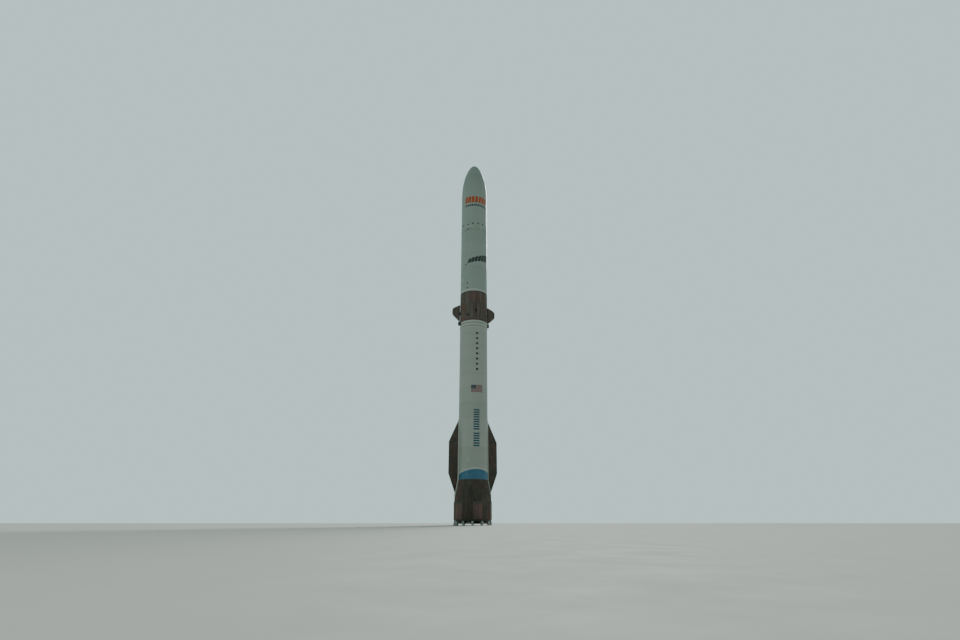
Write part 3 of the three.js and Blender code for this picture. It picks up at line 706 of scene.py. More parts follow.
def make_skirt():
    """Aft skirt shell with frame bands, and insulation tiles on its taper and between the legs."""
    step = 1.2 * MM
    profile = []
    for low, high in ((SKIRT_LOW, SKIRT_LOW + 8 * MM), (5.88 * M, 6.06 * M), (9.62 * M, SKIRT_HIGH)):
        profile += [(skirt_radius(low) - step, low), (skirt_radius(low), low + step),
                    (skirt_radius(high), high - step), (skirt_radius(high) - step, high)]
    profile += [(BODY_R - SKIRT_WALL, SKIRT_HIGH), (SKIRT_R - SKIRT_WALL, SKIRT_SHOULDER),
                (SKIRT_R - SKIRT_WALL, SKIRT_LOW)]
    keep(turned(profile, closed=True), "aft_skirt_shell", DARK_BROWN, 20, nodes=["aft_skirt"])
    rows = [skirt_tiles(low * M, high * M, 24, radians(first), radians(15), 8)
            for first, low, high in ((7.5, 6.2, 7.88), (0.0, 7.92, 9.55))]
    carried(joined("taper_tiles", rows))
    wide = pi / 6 - LEG_HALF_ANGLE
    rows = [skirt_tiles(low, high, 6, side * wide / 2, wide, 6)
            for low, high in ((SKIRT_LOW + 0.2 * M, 3.46 * M), (3.5 * M, 5.82 * M)) for side in (-1, 1)]
    carried(joined("skirt_tiles", rows))
    carried(bolts_around("shoulder_bolts", SKIRT_R, 5.97 * M, 1.3 * MM, 72, DARK_METAL))
    rows = [bolts_around("taper_fastener_row", skirt_radius(z) + 0.6 * MM, z, 1.1 * MM, 96, DARK_METAL)
            for z in (6.35 * M, 7.74 * M, 8.06 * M, 9.4 * M)]
    carried(joined("taper_fasteners", rows))


def make_leg_panels():
    """Six stowed leg panels: curved plate, raised rim and spine, hinge at the foot and latches on top."""
    low, high = span("leg_panel_2")
    inner = SKIRT_R + MM
    outer = inner + 0.1 * M
    half = LEG_HALF_ANGLE
    bevel = 2.5 * MM
    rim = 0.16 * M
    spine = 0.012
    plate = [(inner, low), (outer - bevel, low), (outer, low + bevel), (outer, high - bevel), (outer - bevel, high),
             (inner, high)]
    raised = [(-half, -half + rim / outer, low, high), (half - rim / outer, half, low, high),
              (-half, half, low + bevel, low + rim), (-half, half, high - rim, high - bevel),
              (-spine, spine, low + rim, high - rim)]
    sunk, proud = outer - 3 * MM, outer + 1.2 * MM
    foot = high - 0.62 * M
    cap = [(sunk, foot), (proud, foot), (outer + 2 * MM, foot + MM), (outer + 2 * MM, high - 3 * MM),
           (outer + MM, high - 2 * MM), (sunk, high - 2 * MM)]
    for number in range(1, 7):
        place = turn_z(radians(60 * number - 30))
        bm = turned(plate, 24, place, closed=True, start=-half, sweep=2 * half)
        for left, right, floor, ceiling in raised:
            face = [(sunk, floor + MM), (proud, floor + 1.5 * MM), (proud, ceiling - 1.5 * MM), (sunk, ceiling - MM)]
            add_turned(bm, face, 16, place, closed=True, start=left, sweep=right - left)
        keep(bm, f"leg_panel_{number}_skin", LEG_RED, 25, nodes=[f"leg_panel_{number}"])
        bm = turned(cap, 24, place, closed=True, start=-0.97 * half, sweep=1.94 * half)
        keep(bm, f"leg_cap_{number}", LEG_CAP, 25)
        bm = bmesh.new()
        seat = inner + 0.3 * MM
        for side in (-0.7, 0.7):
            across = place @ turn_z(side * half)
            ends = (across @ Vector((inner + 5 * MM, y, low - 5 * MM)) for y in (-0.022, 0.022))
            add_rod(bm, *ends, 4 * MM, 14)
            add_bar(bm, (seat, -0.016, low - 9 * MM), (inner + 7 * MM, 0.016, low + 3 * MM), MM, across)
            add_bar(bm, (seat, -0.013, high - 2 * MM), (inner + 9 * MM, 0.013, high + 11 * MM), 1.5 * MM, across)
        keep(bm, f"leg_fittings_{number}", DARK_METAL)


# Strakes
def make_strakes():
    """Both strakes: wedge-edged core, skin panels with gaps between them, rivet rows and the root fairing."""
    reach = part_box("strake_right")[1].x
    low, high = span("strake_right")
    root = BODY_R + ROOT_RISE + 0.4 * MM
    outline = [(skirt_radius(low) + ROOT_RISE + 0.4 * MM, low), (reach, 11.3 * M), (reach, 18.5 * M), (root, high),
               (root, SKIRT_HIGH + MM)]
    half = 0.22 * M
    inside = shrunk(outline, 0.22 * M)
    cuts = [height * M for height in (7.5, 9.6, 11.3, 13.7, 16.1, 18.5, 20.6, 22.6)]
    for side, place in SIDES.items():
        bm = bmesh.new()
        add_plate(bm, outline, half - 1.2 * MM, place, 0.16 * M, 0.05 * M)
        keep(bm, f"strake_{side}_core", DARK_BROWN, 20, nodes=[f"strake_{side}"])
        bm = bmesh.new()
        for floor, ceiling in zip(cuts, cuts[1:]):
            band = band_of(inside, floor + 1.2 * MM, ceiling - 1.2 * MM)
            if len(band) > 2:
                add_plate(bm, band, half, place, MM, half - MM)
        keep(bm, f"strake_{side}_skins", DARK_BROWN, 20)
        for name, face in (("front", -half), ("back", half)):
            rows = [row for cut in cuts[1:-1] for row in rivet_rows(inside, face, cut)]
            rivets = joined(f"strake_{side}_rivets_{name}", rows)
            rivets.data.transform(place)
            carried(rivets)
        make_root_fairing(side, place)


def rivet_rows(outline, face, cut):
    """Two rows of rivets on the right strake's face, one at each side of a cut."""
    line = [x for x, _ in band_of(outline, cut, cut + 0.1 * MM)]
    left, right = min(line), max(line)
    pitch, beside = 0.12 * M, 0.06 * M
    count = max(2, int((right - left) / pitch))
    for height in (cut - beside, cut + beside):
        seed = bmesh.new()
        bmesh.ops.create_icosphere(seed, subdivisions=1, radius=0.9 * MM)
        start, step = (left + pitch / 2, face, height), ((right - left) / count, 0.0, 0.0)
        yield grown("rivet_row", ALONG, seed, DARK_METAL, {"Count": count, "Start": start, "Offset": step})


def make_root_fairing(side, place):
    """White cover along a strake's root, with sloping sides, down the tank and the taper."""
    bm = bmesh.new()
    half = 0.4 * M
    loops = []
    for height, share in ((6.2, 0.86), (6.35, 1.0), (9.8, 1.0), (15.0, 1.0), (23.4, 1.0), (24.0, 0.12)):
        tall = ROOT_RISE * share
        edge = [(-2.4 * MM, half), (0.45 * tall, half), (0.85 * tall, 0.82 * half), (tall, 0.66 * half)]
        base = skirt_radius(height * M) + 0.4 * MM
        section = [(base + rise, -y) for rise, y in edge] + [(base + rise, y) for rise, y in reversed(edge)]
        loops.append([bm.verts.new(place @ Vector((x, y, height * M))) for x, y in section])
    add_loft(bm, loops)
    keep(bm, f"strake_root_{side}_cover", WHITE_TRIM, 25, nodes=[f"strake_root_{side}"])


# Body barrels
def barrel(low, high, pitch, first):
    """Outer profile of a barrel from low to high, with a low bead at every weld."""
    bead, half = 0.35 * MM, 1.1 * MM
    points = [(BODY_R, low)]
    height = first + pitch
    while height < high - pitch * 0.3:
        points += [(BODY_R, height - half), (BODY_R + bead, height - 0.4 * half),
                   (BODY_R + bead, height + 0.4 * half), (BODY_R, height + half)]
        height += pitch
    return [*points, (BODY_R, high)]


def make_tank():
    """First-stage tank: solid of revolution with weld beads and the bolted flange near its top."""
    low, high = FLANGE_Z - 0.12 * M, FLANGE_Z + 0.12 * M
    out = BODY_R + FLANGE_RISE
    profile = [(0, TANK_LOW), *barrel(TANK_LOW, low, TANK_PITCH, TANK_LOW), (out - 2 * MM, low), (out, low + 2 * MM),
               (out, FLANGE_Z - MM), (out - 2 * MM, FLANGE_Z), (out, FLANGE_Z + MM), (out, high - 2 * MM),
               (out - 2 * MM, high), (BODY_R, high), (BODY_R, TANK_HIGH), (0, TANK_HIGH)]
    keep(turned(profile), "first_stage_barrel", WHITE_TANK, 20, nodes=["first_stage_tank"])
    face_bolts_around("flange_bolts", BODY_R + 0.4 * FLANGE_RISE, low - 1.5 * MM, high + 1.5 * MM, 1.7 * MM, 96)


def make_forward_module():
    """Forward module: shell, insulation panels, strips over their joints and the bolted bosses of the fins."""
    bm = bmesh.new()
    add_ring(bm, BODY_R - MODULE_WALL, BODY_R, MODULE_LOW, MODULE_HIGH, 0.8 * MM)
    keep(bm, "forward_module_shell", DARK_BROWN, nodes=["forward_module"], slot="brown_insulation")
    joint = MODULE_LOW + 0.57 * (MODULE_HIGH - MODULE_LOW)
    rows = ((MODULE_LOW + 0.32 * M, joint - MM, 0.0, 8, 22.5), (joint + MM, MODULE_HIGH - 0.28 * M, 7.5, 12, 15.0))
    panels = []
    strips = []
    for low, high, first_panel, count, first_strip in rows:
        profile = [(BODY_R - 2 * MM, low), (BODY_R + 0.7 * MM, low), (BODY_R + 1.5 * MM, low + MM),
                   (BODY_R + 1.5 * MM, high - MM), (BODY_R + 0.7 * MM, high), (BODY_R - 2 * MM, high)]
        panels.append(tiles_around("panel_row", profile, BROWN, 24, radians(first_panel), radians(15), radians(0.3)))
        seed = bmesh.new()
        add_bar(seed, (BODY_R - MM, -0.05 * M, low + 0.2 * M), (BODY_R + 2.4 * MM, 0.05 * M, high - MM), 0.8 * MM)
        strips.append(copies_around("strip_row", seed, STRIP, count, radians(first_strip)))
    carried(joined("forward_module_panels", panels))
    carried(joined("forward_module_strips", strips))
    face = 3.59 * M
    bore, reach = 0.19 * M, 0.46 * M
    profile = [(bore, face - 0.2 * M), (reach, face - 0.2 * M), (reach, face - 1.5 * MM), (reach - 1.5 * MM, face),
               (bore + MM, face), (bore, face - MM)]
    place = Matrix.Translation((0, 0, FIN_AXIS_Z)) @ Matrix.Rotation(pi / 2, 4, "Y")
    seed = turned(profile, 40, place, closed=True)
    for angle in (TURN * k / 12 for k in range(12)):
        y, z = 0.36 * M * cos(angle), FIN_AXIS_Z + 0.36 * M * sin(angle)
        add_rod(seed, (face - 2 * MM, y, z), (face + 1.4 * MM, y, z), 2.2 * MM, 6)
    carried(copies_around("fin_bosses", seed, DARK_METAL, 4))


def make_fins():
    """Four fins: wedge-edged blade with raised panels, spindle and collar."""
    stations = ((3.66, -2.2), (4.02, -2.08), (5.37, -0.81), (5.62, -0.48), (5.71, -0.1), (5.71, 0.78), (5.6, 1.16),
                (5.31, 1.5), (3.66, 2.42))
    outline = [(radius * M, height * M) for radius, height in stations]
    root = outline[0][0]
    inner = shrunk([(root, -2.42 * M), *outline[2:]], 0.42 * M)
    collar = BODY_R - MODULE_WALL - 0.1 * M
    for number in range(1, 5):
        place = turn_z((number - 1) * pi / 2) @ Matrix.Translation((0, 0, FIN_AXIS_Z))
        bm = bmesh.new()
        add_plate(bm, outline, 0.165 * M, place, 0.2 * M, 0.05 * M, 0.2 * M)
        for low, high in ((-2.2, -0.66), (-0.58, 0.66), (0.74, 2.42)):
            band = band_of(inner, low * M, high * M)
            if len(band) > 2:
                add_plate(bm, band, 0.17 * M, place, MM, 0.165 * M - MM)
        body = f"fin_body_{number}"
        keep(bm, f"fin_{number}_blade", BROWN, 20, body, [f"fin_{number}"])
        bm = bmesh.new()
        for end, radius in ((root + 0.25 * M, 0.17 * M), (collar, 0.3 * M)):
            add_rod(bm, place @ Vector((collar - 0.1 * M, 0, 0)), place @ Vector((end, 0, 0)), radius, 32)
        keep(bm, f"fin_{number}_spindle", DARK_METAL, body=body)


def make_pods():
    """Pods across the joint under the two side fins: rounded cover on a seat plate, with a louvred face."""
    low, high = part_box("pod_right")
    for side, place in SIDES.items():
        bm = bmesh.new()
        add_bar(bm, low, (high.x - 4 * MM, high.y, high.z), 2 * MM, place)
        add_bar(bm, low + Vector((0, 4, 6)) * MM, high - Vector((0, 4, 6)) * MM, 5 * MM, place)
        for k in range(5):
            z = low.z + 0.25 * M + k * 0.14 * M
            add_bar(bm, (high.x - 3 * MM, low.y + 10 * MM, z), (high.x + MM, high.y - 10 * MM, z + 6 * MM), MM, place)
        keep(bm, f"pod_{side}_cover", DARK_METAL, nodes=[f"pod_{side}"])


# Engines. A height is full-size metres above the bell's exit.
EXIT = -3.1 * M
BELL = [(0.0, 0.9), (0.4, 0.87), (0.9, 0.76), (1.4, 0.6), (1.8, 0.4), (2.05, 0.27)]
BELL_TOP = BELL[-1][0]


def engine_places():
    yield 1, Matrix.Translation((0, 0, PIVOT_Z))
    for index in range(6):
        angle = index * pi / 3
        spot = (ENGINE_CIRCLE * cos(angle), ENGINE_CIRCLE * sin(angle), PIVOT_Z)
        yield index + 2, Matrix.Translation(spot) @ turn_z(angle)


def above_exit(points):
    """Profile in model metres from full-size radii and heights above the exit."""
    return [(radius * M, EXIT + height * M) for radius, height in points]


def bell_radius(height):
    """Outer radius of the bell at a height, by a smooth curve through its stations."""
    route = curved([(r, h, 0) for h, r in BELL], 8)
    for a, b in zip(route, route[1:]):
        if a.y <= height <= b.y:
            return a.x + (b.x - a.x) * (height - a.y) / (b.y - a.y)
    return route[-1].x


def make_bell():
    """Hollow bell with a rolled lip, about the gimbal pivot."""
    wall, under_tubes = 0.03, 0.012
    outer = [(bell_radius(h) - under_tubes, h) for h in (BELL_TOP * k / 22 for k in range(23))]
    inner = [(radius - wall, height) for radius, height in reversed(outer)]
    lip = [(0.875, 0.0), (0.888, 0.012), (0.9, 0.03), (0.9, 0.055), (0.889, 0.07)]
    return turned(above_exit([(0, BELL_TOP), *inner, *lip, *outer[1:], (0.33, 2.18), (0.39, 2.26), (0, 2.26)]), 64)


def make_throat():
    """Near-black injector face at the inner end of the bell."""
    inner = bell_radius(2.0) - 0.055
    return turned(above_exit([(0, 1.97), (0.6 * inner, 1.96), (inner, 2.0), (inner, 2.04), (0, 2.04)]), 32)


def make_bell_tubes():
    """Cooling tubes down the outside of the bell and the bands that hold them."""
    seed = bmesh.new()
    heights = (0.08 + 1.95 * k / 14 for k in range(15))
    add_pipe(seed, [((bell_radius(h) - 0.008) * M, 0, EXIT + h * M) for h in heights], 0.016 * M, 4)
    tubes = copies_around("bell_tubes", seed, NOZZLE_METAL, 60)
    bm = bmesh.new()
    bm.from_mesh(tubes.data)
    bpy.data.objects.remove(tubes)
    for height in (0.32, 0.62, 0.94, 1.26, 1.56):
        radius = bell_radius(height) * M
        middle = EXIT + height * M
        add_ring(bm, radius - 1.5 * MM, radius + 1.6 * MM, middle - 1.6 * MM, middle + 1.6 * MM, 0.5 * MM, 64)
    return bm


def make_powerhead():
    """Chamber, injector dome, manifolds, turbopump and its pipes, and the two lugs, about the pivot."""
    chamber = [(0, 2.2), (0.36, 2.2), (0.405, 2.26), (0.4, 2.34), (0.36, 2.36), (0.36, 2.56), (0.4, 2.58),
               (0.4, 2.66), (0.3, 2.72), (0.3, 2.75), (0, 2.75)]
    pump = [(0, 2.0), (0.09, 2.0), (0.12, 2.06), (0.16, 2.1), (0.16, 2.22), (0.11, 2.26), (0.11, 2.38), (0.17, 2.4),
            (0.17, 2.52), (0.12, 2.55), (0.12, 2.64), (0.08, 2.68), (0, 2.68)]
    bm = turned(above_exit(chamber), 40)
    add_turned(bm, above_exit(pump), 28, Matrix.Translation((-0.6 * M, 0, 0)))
    manifolds = [([(radius * cos(a), radius * sin(a), height) for a in (TURN * k / 32 for k in range(33))], size)
                 for height, radius, size in ((2.12, 0.34, 0.055), (2.45, 0.39, 0.045))]
    pipes = [
        [(-0.6, 0.0, 2.45), (-0.5, 0.06, 2.5), (-0.4, 0.04, 2.5), (-0.3, 0.0, 2.5)],
        [(-0.6, -0.12, 2.15), (-0.5, -0.3, 2.05), (-0.35, -0.42, 2.0), (-0.15, -0.42, 2.05), (0.0, -0.36, 2.12)],
        [(-0.6, 0.13, 2.3), (-0.45, 0.36, 2.4), (-0.2, 0.44, 2.5), (0.05, 0.38, 2.5), (0.2, 0.3, 2.48)],
    ]
    for route, size in manifolds + [(curved(pipe), 0.05) for pipe in pipes]:
        add_pipe(bm, [(x * M, y * M, EXIT + z * M) for x, y, z in route], size * M)
    for side in (-1, 1):
        add_lug(bm, side * 0.2 * M, -0.39 * M)
    return bm


def add_lug(bm, offset, foot):
    """Eye lug across X at an offset along it, from a foot height up to an eye at the pivot."""
    eye, bore, half = 0.1 * M, 0.075 * M, 0.05 * M
    arc = [pi * k / 14 for k in range(15)]
    outer = [(eye, foot), *((eye * cos(a), eye * sin(a)) for a in arc), (-eye, foot)]
    hole = [(bore * cos(a), bore * sin(a)) for a in (-0.3 * pi, *arc, 1.3 * pi)]
    near_out, near_in, far_out, far_in = ([bm.verts.new((x, *point)) for point in points]
                                          for x in (offset - half, offset + half) for points in (outer, hole))
    for first, second in ((near_out, near_in), (far_out, far_in), (near_out, far_out), (near_in, far_in)):
        add_strip(bm, first, second)


def make_engines():
    kinds = (("bell", make_bell(), NOZZLE_METAL), ("throat", make_throat(), NEAR_BLACK),
             ("tubes", make_bell_tubes(), NOZZLE_METAL), ("powerhead", make_powerhead(), BARE_METAL))
    for number, place in engine_places():
        for kind, shape, material in kinds:
            copy = shape.copy()
            bmesh.ops.transform(copy, matrix=place, verts=copy.verts)
            nodes = [f"engine_{number}"] if kind == "bell" else []
            keep(copy, f"engine_{number}_{kind}", material, 30, f"engine_body_{number}", nodes)


def make_heat_shield():
    """Base heat shield: a blanket plate with a rimmed hole for each engine, ribs under it and a bolted edge."""
    low, high = span("base_heat_shield")
    radius = SKIRT_R - SKIRT_WALL - MM
    hole = 0.8 * M
    curve = bpy.data.curves.new("heat_shield_outline", "CURVE")
    curve.dimensions = "2D"
    curve.fill_mode = "BOTH"
    curve.extrude = (high - low) / 2 - 0.5 * MM
    centres = [place.translation for _, place in engine_places()]
    for centre, size, points in [(Vector(), radius, 120)] + [(centre, hole, 48) for centre in centres]:
        spline = curve.splines.new("POLY")
        spline.points.add(points - 1)
        spline.use_cyclic_u = True
        for k, point in enumerate(spline.points):
            angle = TURN * k / points
            point.co = (centre.x + size * cos(angle), centre.y + size * sin(angle), 0, 1)
    plate = link_object("heat_shield_curve", curve)
    graph = bpy.context.evaluated_depsgraph_get()
    bm = bmesh.new()
    bm.from_mesh(bpy.data.meshes.new_from_object(plate.evaluated_get(graph)))
    bpy.data.objects.remove(plate)
    bmesh.ops.translate(bm, verts=bm.verts, vec=(0, 0, (low + high) / 2))
    for centre in centres:
        place = Matrix.Translation((centre.x, centre.y, 0))
        add_ring(bm, hole, hole + 5 * MM, low - 1.5 * MM, low + 4 * MM, 0.8 * MM, 48, place)
    keep(bm, "heat_shield_plate", BLANKET, 25, nodes=["base_heat_shield"])
    face_bolts_around("heat_shield_bolts", radius - 0.08 * M, low - 1.6 * MM, low + 3 * MM, 1.8 * MM, 72)
    seed = bmesh.new()
    add_bar(seed, (radius - 0.5 * M, -0.03 * M, low - 3 * MM), (radius - 0.14 * M, 0.03 * M, low + MM), MM)
    carried(copies_around("heat_shield_ribs", seed, DARK_METAL, 6, radians(30)))


# Second stage, payload adapter and fairing
def make_second_stage():
    """Second stage: barrel with weld beads, end frames and the lugs of the fairing hinges."""
    proud = BODY_R + 0.8 * MM
    profile = [(0, STAGE2_LOW), (BODY_R - MM, STAGE2_LOW), (proud, STAGE2_LOW + MM), (proud, STAGE2_LOW + 12 * MM),
               (BODY_R, STAGE2_LOW + 13 * MM),
               *barrel(STAGE2_LOW + 14 * MM, STAGE2_HIGH - 40 * MM, STAGE2_PITCH, STAGE2_LOW)[1:],
               (BODY_R, FAIRING_LOW - 14 * MM), (proud, FAIRING_LOW - 13 * MM), (proud, FAIRING_LOW - 1.4 * MM),
               (BODY_R - MM, FAIRING_LOW - 0.5 * MM), (0, FAIRING_LOW - 0.5 * MM)]
    keep(turned(profile), "second_stage_barrel", WHITE_STAGE2, 20, nodes=["second_stage"])
    corners = [(-0.2, -0.66), (-0.12, -0.66), (0.1, -0.1), (0.1, 0.1), (-0.09, 0.1), (-0.09, -0.08), (-0.2, -0.08)]
    outline = [(HINGE_Y + out * M, up * M) for out, up in corners]
    bm = bmesh.new()
    for facing in (BACK, FRONT):
        for hinge_x in HINGE_X:
            for offset in (-0.23 * M, 0.23 * M):
                place = turn_z(facing) @ Matrix.Translation((0, hinge_x + offset, FAIRING_LOW))
                add_plate(bm, outline, 0.05 * M - MM, place)
    keep(bm, "fairing_hinge_lugs", WHITE_TRIM, 30)
    for name, height in (("second_stage_frame_bolts", STAGE2_LOW + 7 * MM), ("separation_bolts", FAIRING_LOW - 7 * MM)):
        carried(bolts_around(name, proud, height, 1.2 * MM, 120, BARE_METAL))


def make_adapter():
    """Payload adapter: ribbed cone on a base frame, with a clamp ring at its flat top."""
    low, high = span("payload_adapter")
    base, top = 2.2 * M, 1.31 * M
    profile = [(0, low), (base, low), (base, low + 3 * MM), (base - 5 * MM, low + 4 * MM),
               (top + 2 * MM, high - 10 * MM), (top - 2 * MM, high - 8 * MM), (top - 2 * MM, high - 6 * MM),
               (top, high - 4.5 * MM), (top, high), (0, high)]
    keep(turned(profile, 96), "payload_adapter_cone", BARE_METAL, nodes=["payload_adapter"])
    seed = bmesh.new()
    outline = [(base - 9 * MM, low + 5 * MM), (base - 3 * MM, low + 4 * MM), (top + 3.5 * MM, high - 11 * MM),
               (top - 2 * MM, high - 11 * MM)]
    add_plate(seed, outline, 0.9 * MM)
    carried(copies_around("adapter_ribs", seed, BARE_METAL, 24))


def make_fairing():
    """Halves of the payload fairing: ogive shell, split-line and foot frames, quilt inside and hinge barrels."""
    split_gap = 0.3 * MM
    sweep = pi - split_gap / BODY_R
    inner = BODY_R - FAIRING_WALL
    half = 0.17 * M
    bracket = [(BODY_R - 6 * MM, 2 * MM), (HINGE_Y + 2 * MM, 2 * MM), (HINGE_Y + 2 * MM, 14 * MM),
               (BODY_R + 5 * MM, 38 * MM), (BODY_R - 6 * MM, 42 * MM)]
    for name, facing, hinge_y in (("front", FRONT, -HINGE_Y), ("back", BACK, HINGE_Y)):
        body = f"{name}_fairing"
        first = facing - sweep / 2
        sizes = {"Radius": BODY_R, "Foot": FAIRING_LOW, "Shoulder": NOSE_START, "Tip": NOSE_TIP, "First": first,
                 "Sweep": sweep, "Columns": 97, "Rows": 80, "Straight Share": 0.25}
        shell = grown(f"fairing_{name}_shell", OGIVE, bmesh.new(), WHITE_FAIRING, sizes)
        wall = shell.modifiers.new("wall", "SOLIDIFY")
        wall.thickness = FAIRING_WALL
        wall.offset = -1.0
        bake_modifiers(shell)
        carried(shell, body, [f"fairing_half_{name}"])
        bm = bmesh.new()
        for z in FAIRING_BAYS:
            hoop = [(inner - 8 * MM, z), (inner + MM, z), (inner + MM, z + 8 * MM), (inner - 8 * MM, z + 8 * MM)]
            add_turned(bm, hoop, 48, closed=True, start=first + 0.004, sweep=sweep - 0.008)
        for side in (-1, 1):
            along = turn_z(facing + side * (sweep / 2 - 0.03))
            add_bar(bm, (inner - 9 * MM, -5 * MM, FAIRING_LOW + 4 * MM), (inner + MM, 5 * MM, NOSE_START), MM, along)
        keep(bm, f"fairing_{name}_frames", BARE_METAL, body=body)
        make_quilt(name, first, sweep, inner, body)
        bm = bmesh.new()
        for hinge_x in HINGE_X:
            for length, radius, sides in ((half, 0.1 * M, 24), (0.31 * M, 0.05 * M, 16)):
                ends = ((hinge_x + end, hinge_y, FAIRING_LOW) for end in (-length, length))
                add_rod(bm, *ends, radius, sides)
            place = turn_z(facing) @ Matrix.Translation((0, hinge_x, FAIRING_LOW))
            add_plate(bm, bracket, half, place, 1.5 * MM, half - 1.5 * MM)
        keep(bm, f"fairing_{name}_hinges", WHITE_TRIM, body=body)


def make_quilt(name, first, sweep, inner, body):
    """Padded blankets on the inner wall of the three straight bays, with their edges drawn in."""
    columns = 8
    margin = 0.06
    wide = (sweep - 2 * margin) / columns
    first += margin + wide / 2
    bays = []
    for low, high in zip(FAIRING_BAYS, FAIRING_BAYS[1:]):
        low, high = low + 12 * MM, high - 4 * MM
        profile = [(inner + MM, low), (inner - 1.5 * MM, low), (inner - 5 * MM, low + 7 * MM),
                   (inner - 5 * MM, high - 7 * MM), (inner - 1.5 * MM, high), (inner + MM, high)]
        bays.append(tiles_around("quilt_bay", profile, QUILT, columns, first, wide, 0.01, step=wide))
    carried(joined(f"fairing_{name}_quilt", bays), body)


# Marks and small fittings
def make_blue_band():
    """Blue band round the foot of the tank, its top edge arched up on the two marked sides."""
    half = BODY_R * radians(82)
    side_top, middle_top = 10.95 * M, 12.0 * M

    def arch(u):
        return side_top + (middle_top - side_top) * cos(min(abs(u) / half, 1.0) * pi / 2)

    def edge(u):
        return arch(u) + 0.42 * M

    for name, material, foot, top, radius in (("blue_band", BLUE, TANK_LOW + MM, arch, BODY_R),
                                              ("band_white_edge", WHITE_MARK, TANK_LOW + 2 * MM, edge,
                                               BODY_R - 0.3 * MM)):
        bm = bmesh.new()
        for facing in (FRONT, BACK):
            add_mark(bm, facing, -half, half, foot, 0, radius=radius, top=top, columns=72)
        keep(bm, name, material, 20)


def make_joint_rings():
    """Pale paint rings and grey sealed joints at the top of the tank and the foot of the second stage."""
    kinds = (("pale_rings", WHITE_MARK, ((46.7, 46.95), (47.36, 47.8), (48.02, 48.42), (56.78, 57.25))),
             ("sealed_joints", JOINT_GREY, ((46.96, 47.07), (47.83, 47.97), (74.81, 74.89), (75.44, 75.55))))
    for name, material, bands in kinds:
        bm = bmesh.new()
        for low, high in bands:
            add_ring(bm, BODY_R - 2 * MM, BODY_R + 0.7 * MM, low * M, high * M, 0.25 * MM)
        keep(bm, name, material, 20)


def make_marks():
    """Plain marks in place of lettering, in full-size metres from the marked meridian."""
    bars = [(-0.8, 0.66, first + 0.56 * k, first + 0.32 + 0.56 * k) for first, count in ((17.1, 6), (20.95, 9))
            for k in range(count)]
    marks("blue_bars", BLUE_MARK, bars)
    marks("dark_squares", CHARCOAL, [(-0.25, 0.29, 35.4 + 1.33 * k, 35.92 + 1.33 * k) for k in range(8)])
    low, high, half, hoist = 29.95, 31.65, 1.44, -0.3
    stripe = (high - low) / 13
    stripes = [(-half, half, low + 2 * k * stripe, low + (2 * k + 1) * stripe) for k in range(7)]
    marks("flag_field", PALE_STRIPE, [(-half, half, low, high)])
    marks("flag_stripes", RED_MARK, stripes, lift=0.6 * MM)
    marks("flag_canton", NAVY, [(-half, hoist, low + 6 * stripe, high)], lift=1.2 * MM)
    make_stars(-half, hoist, low + 6 * stripe, high)
    slanted = [(-2.7 + 0.92 * k, -1.95 + 0.92 * k, 64.75 + 0.17 * k, 66.0 + 0.33 * k, 0.55) for k in range(7)]
    marks("slanted_bars", CHARCOAL, [*slanted, (-3.6, -2.85, 64.4, 64.6, 0.2)])
    blocks = [(-3.6 + 0.96 * k, -2.85 + 0.96 * k, 83.45, 85.4, 0.25) for k in range(7)]
    line = [(-3.45 + 0.62 * k, -3.0 + 0.62 * k, 82.3, 82.85) for k in range(11)]
    for name, material, cells in (("orange_blocks", ORANGE, blocks), ("dark_line", CHARCOAL, line)):
        marks(name, material, cells, "front_fairing", (FRONT,))
        marks(name + "_back", material, cells, "back_fairing", (BACK,))


def make_stars(left, right, low, high):
    """Rows of small white stars on the canton: five rows of six with four rows of five between them."""
    across, up = (right - left) / 12, (high - low) / 10
    pieces = []
    for facing in (FRONT, BACK):
        for count, rows, first in ((6, 5, 1), (5, 4, 2)):
            seed = bmesh.new()
            points = [((0.021 if k % 2 else 0.052) * M, pi * (0.5 + k / 5)) for k in range(10)]
            ring = [seed.verts.new((BODY_R + 2.6 * MM, size * cos(a), (low + first * up) * M + size * sin(a)))
                    for size, a in points]
            seed.faces.new(ring)
            bmesh.ops.solidify(seed, geom=seed.faces[:], thickness=0.4 * MM)
            start = facing + (left + first * across) * M / BODY_R
            pieces.append(copies_around("flag_star_row", seed, WHITE_MARK, count, start, 2 * across * M / BODY_R,
                                        rows, 2 * up * M))
    carried(joined("flag_stars", pieces))


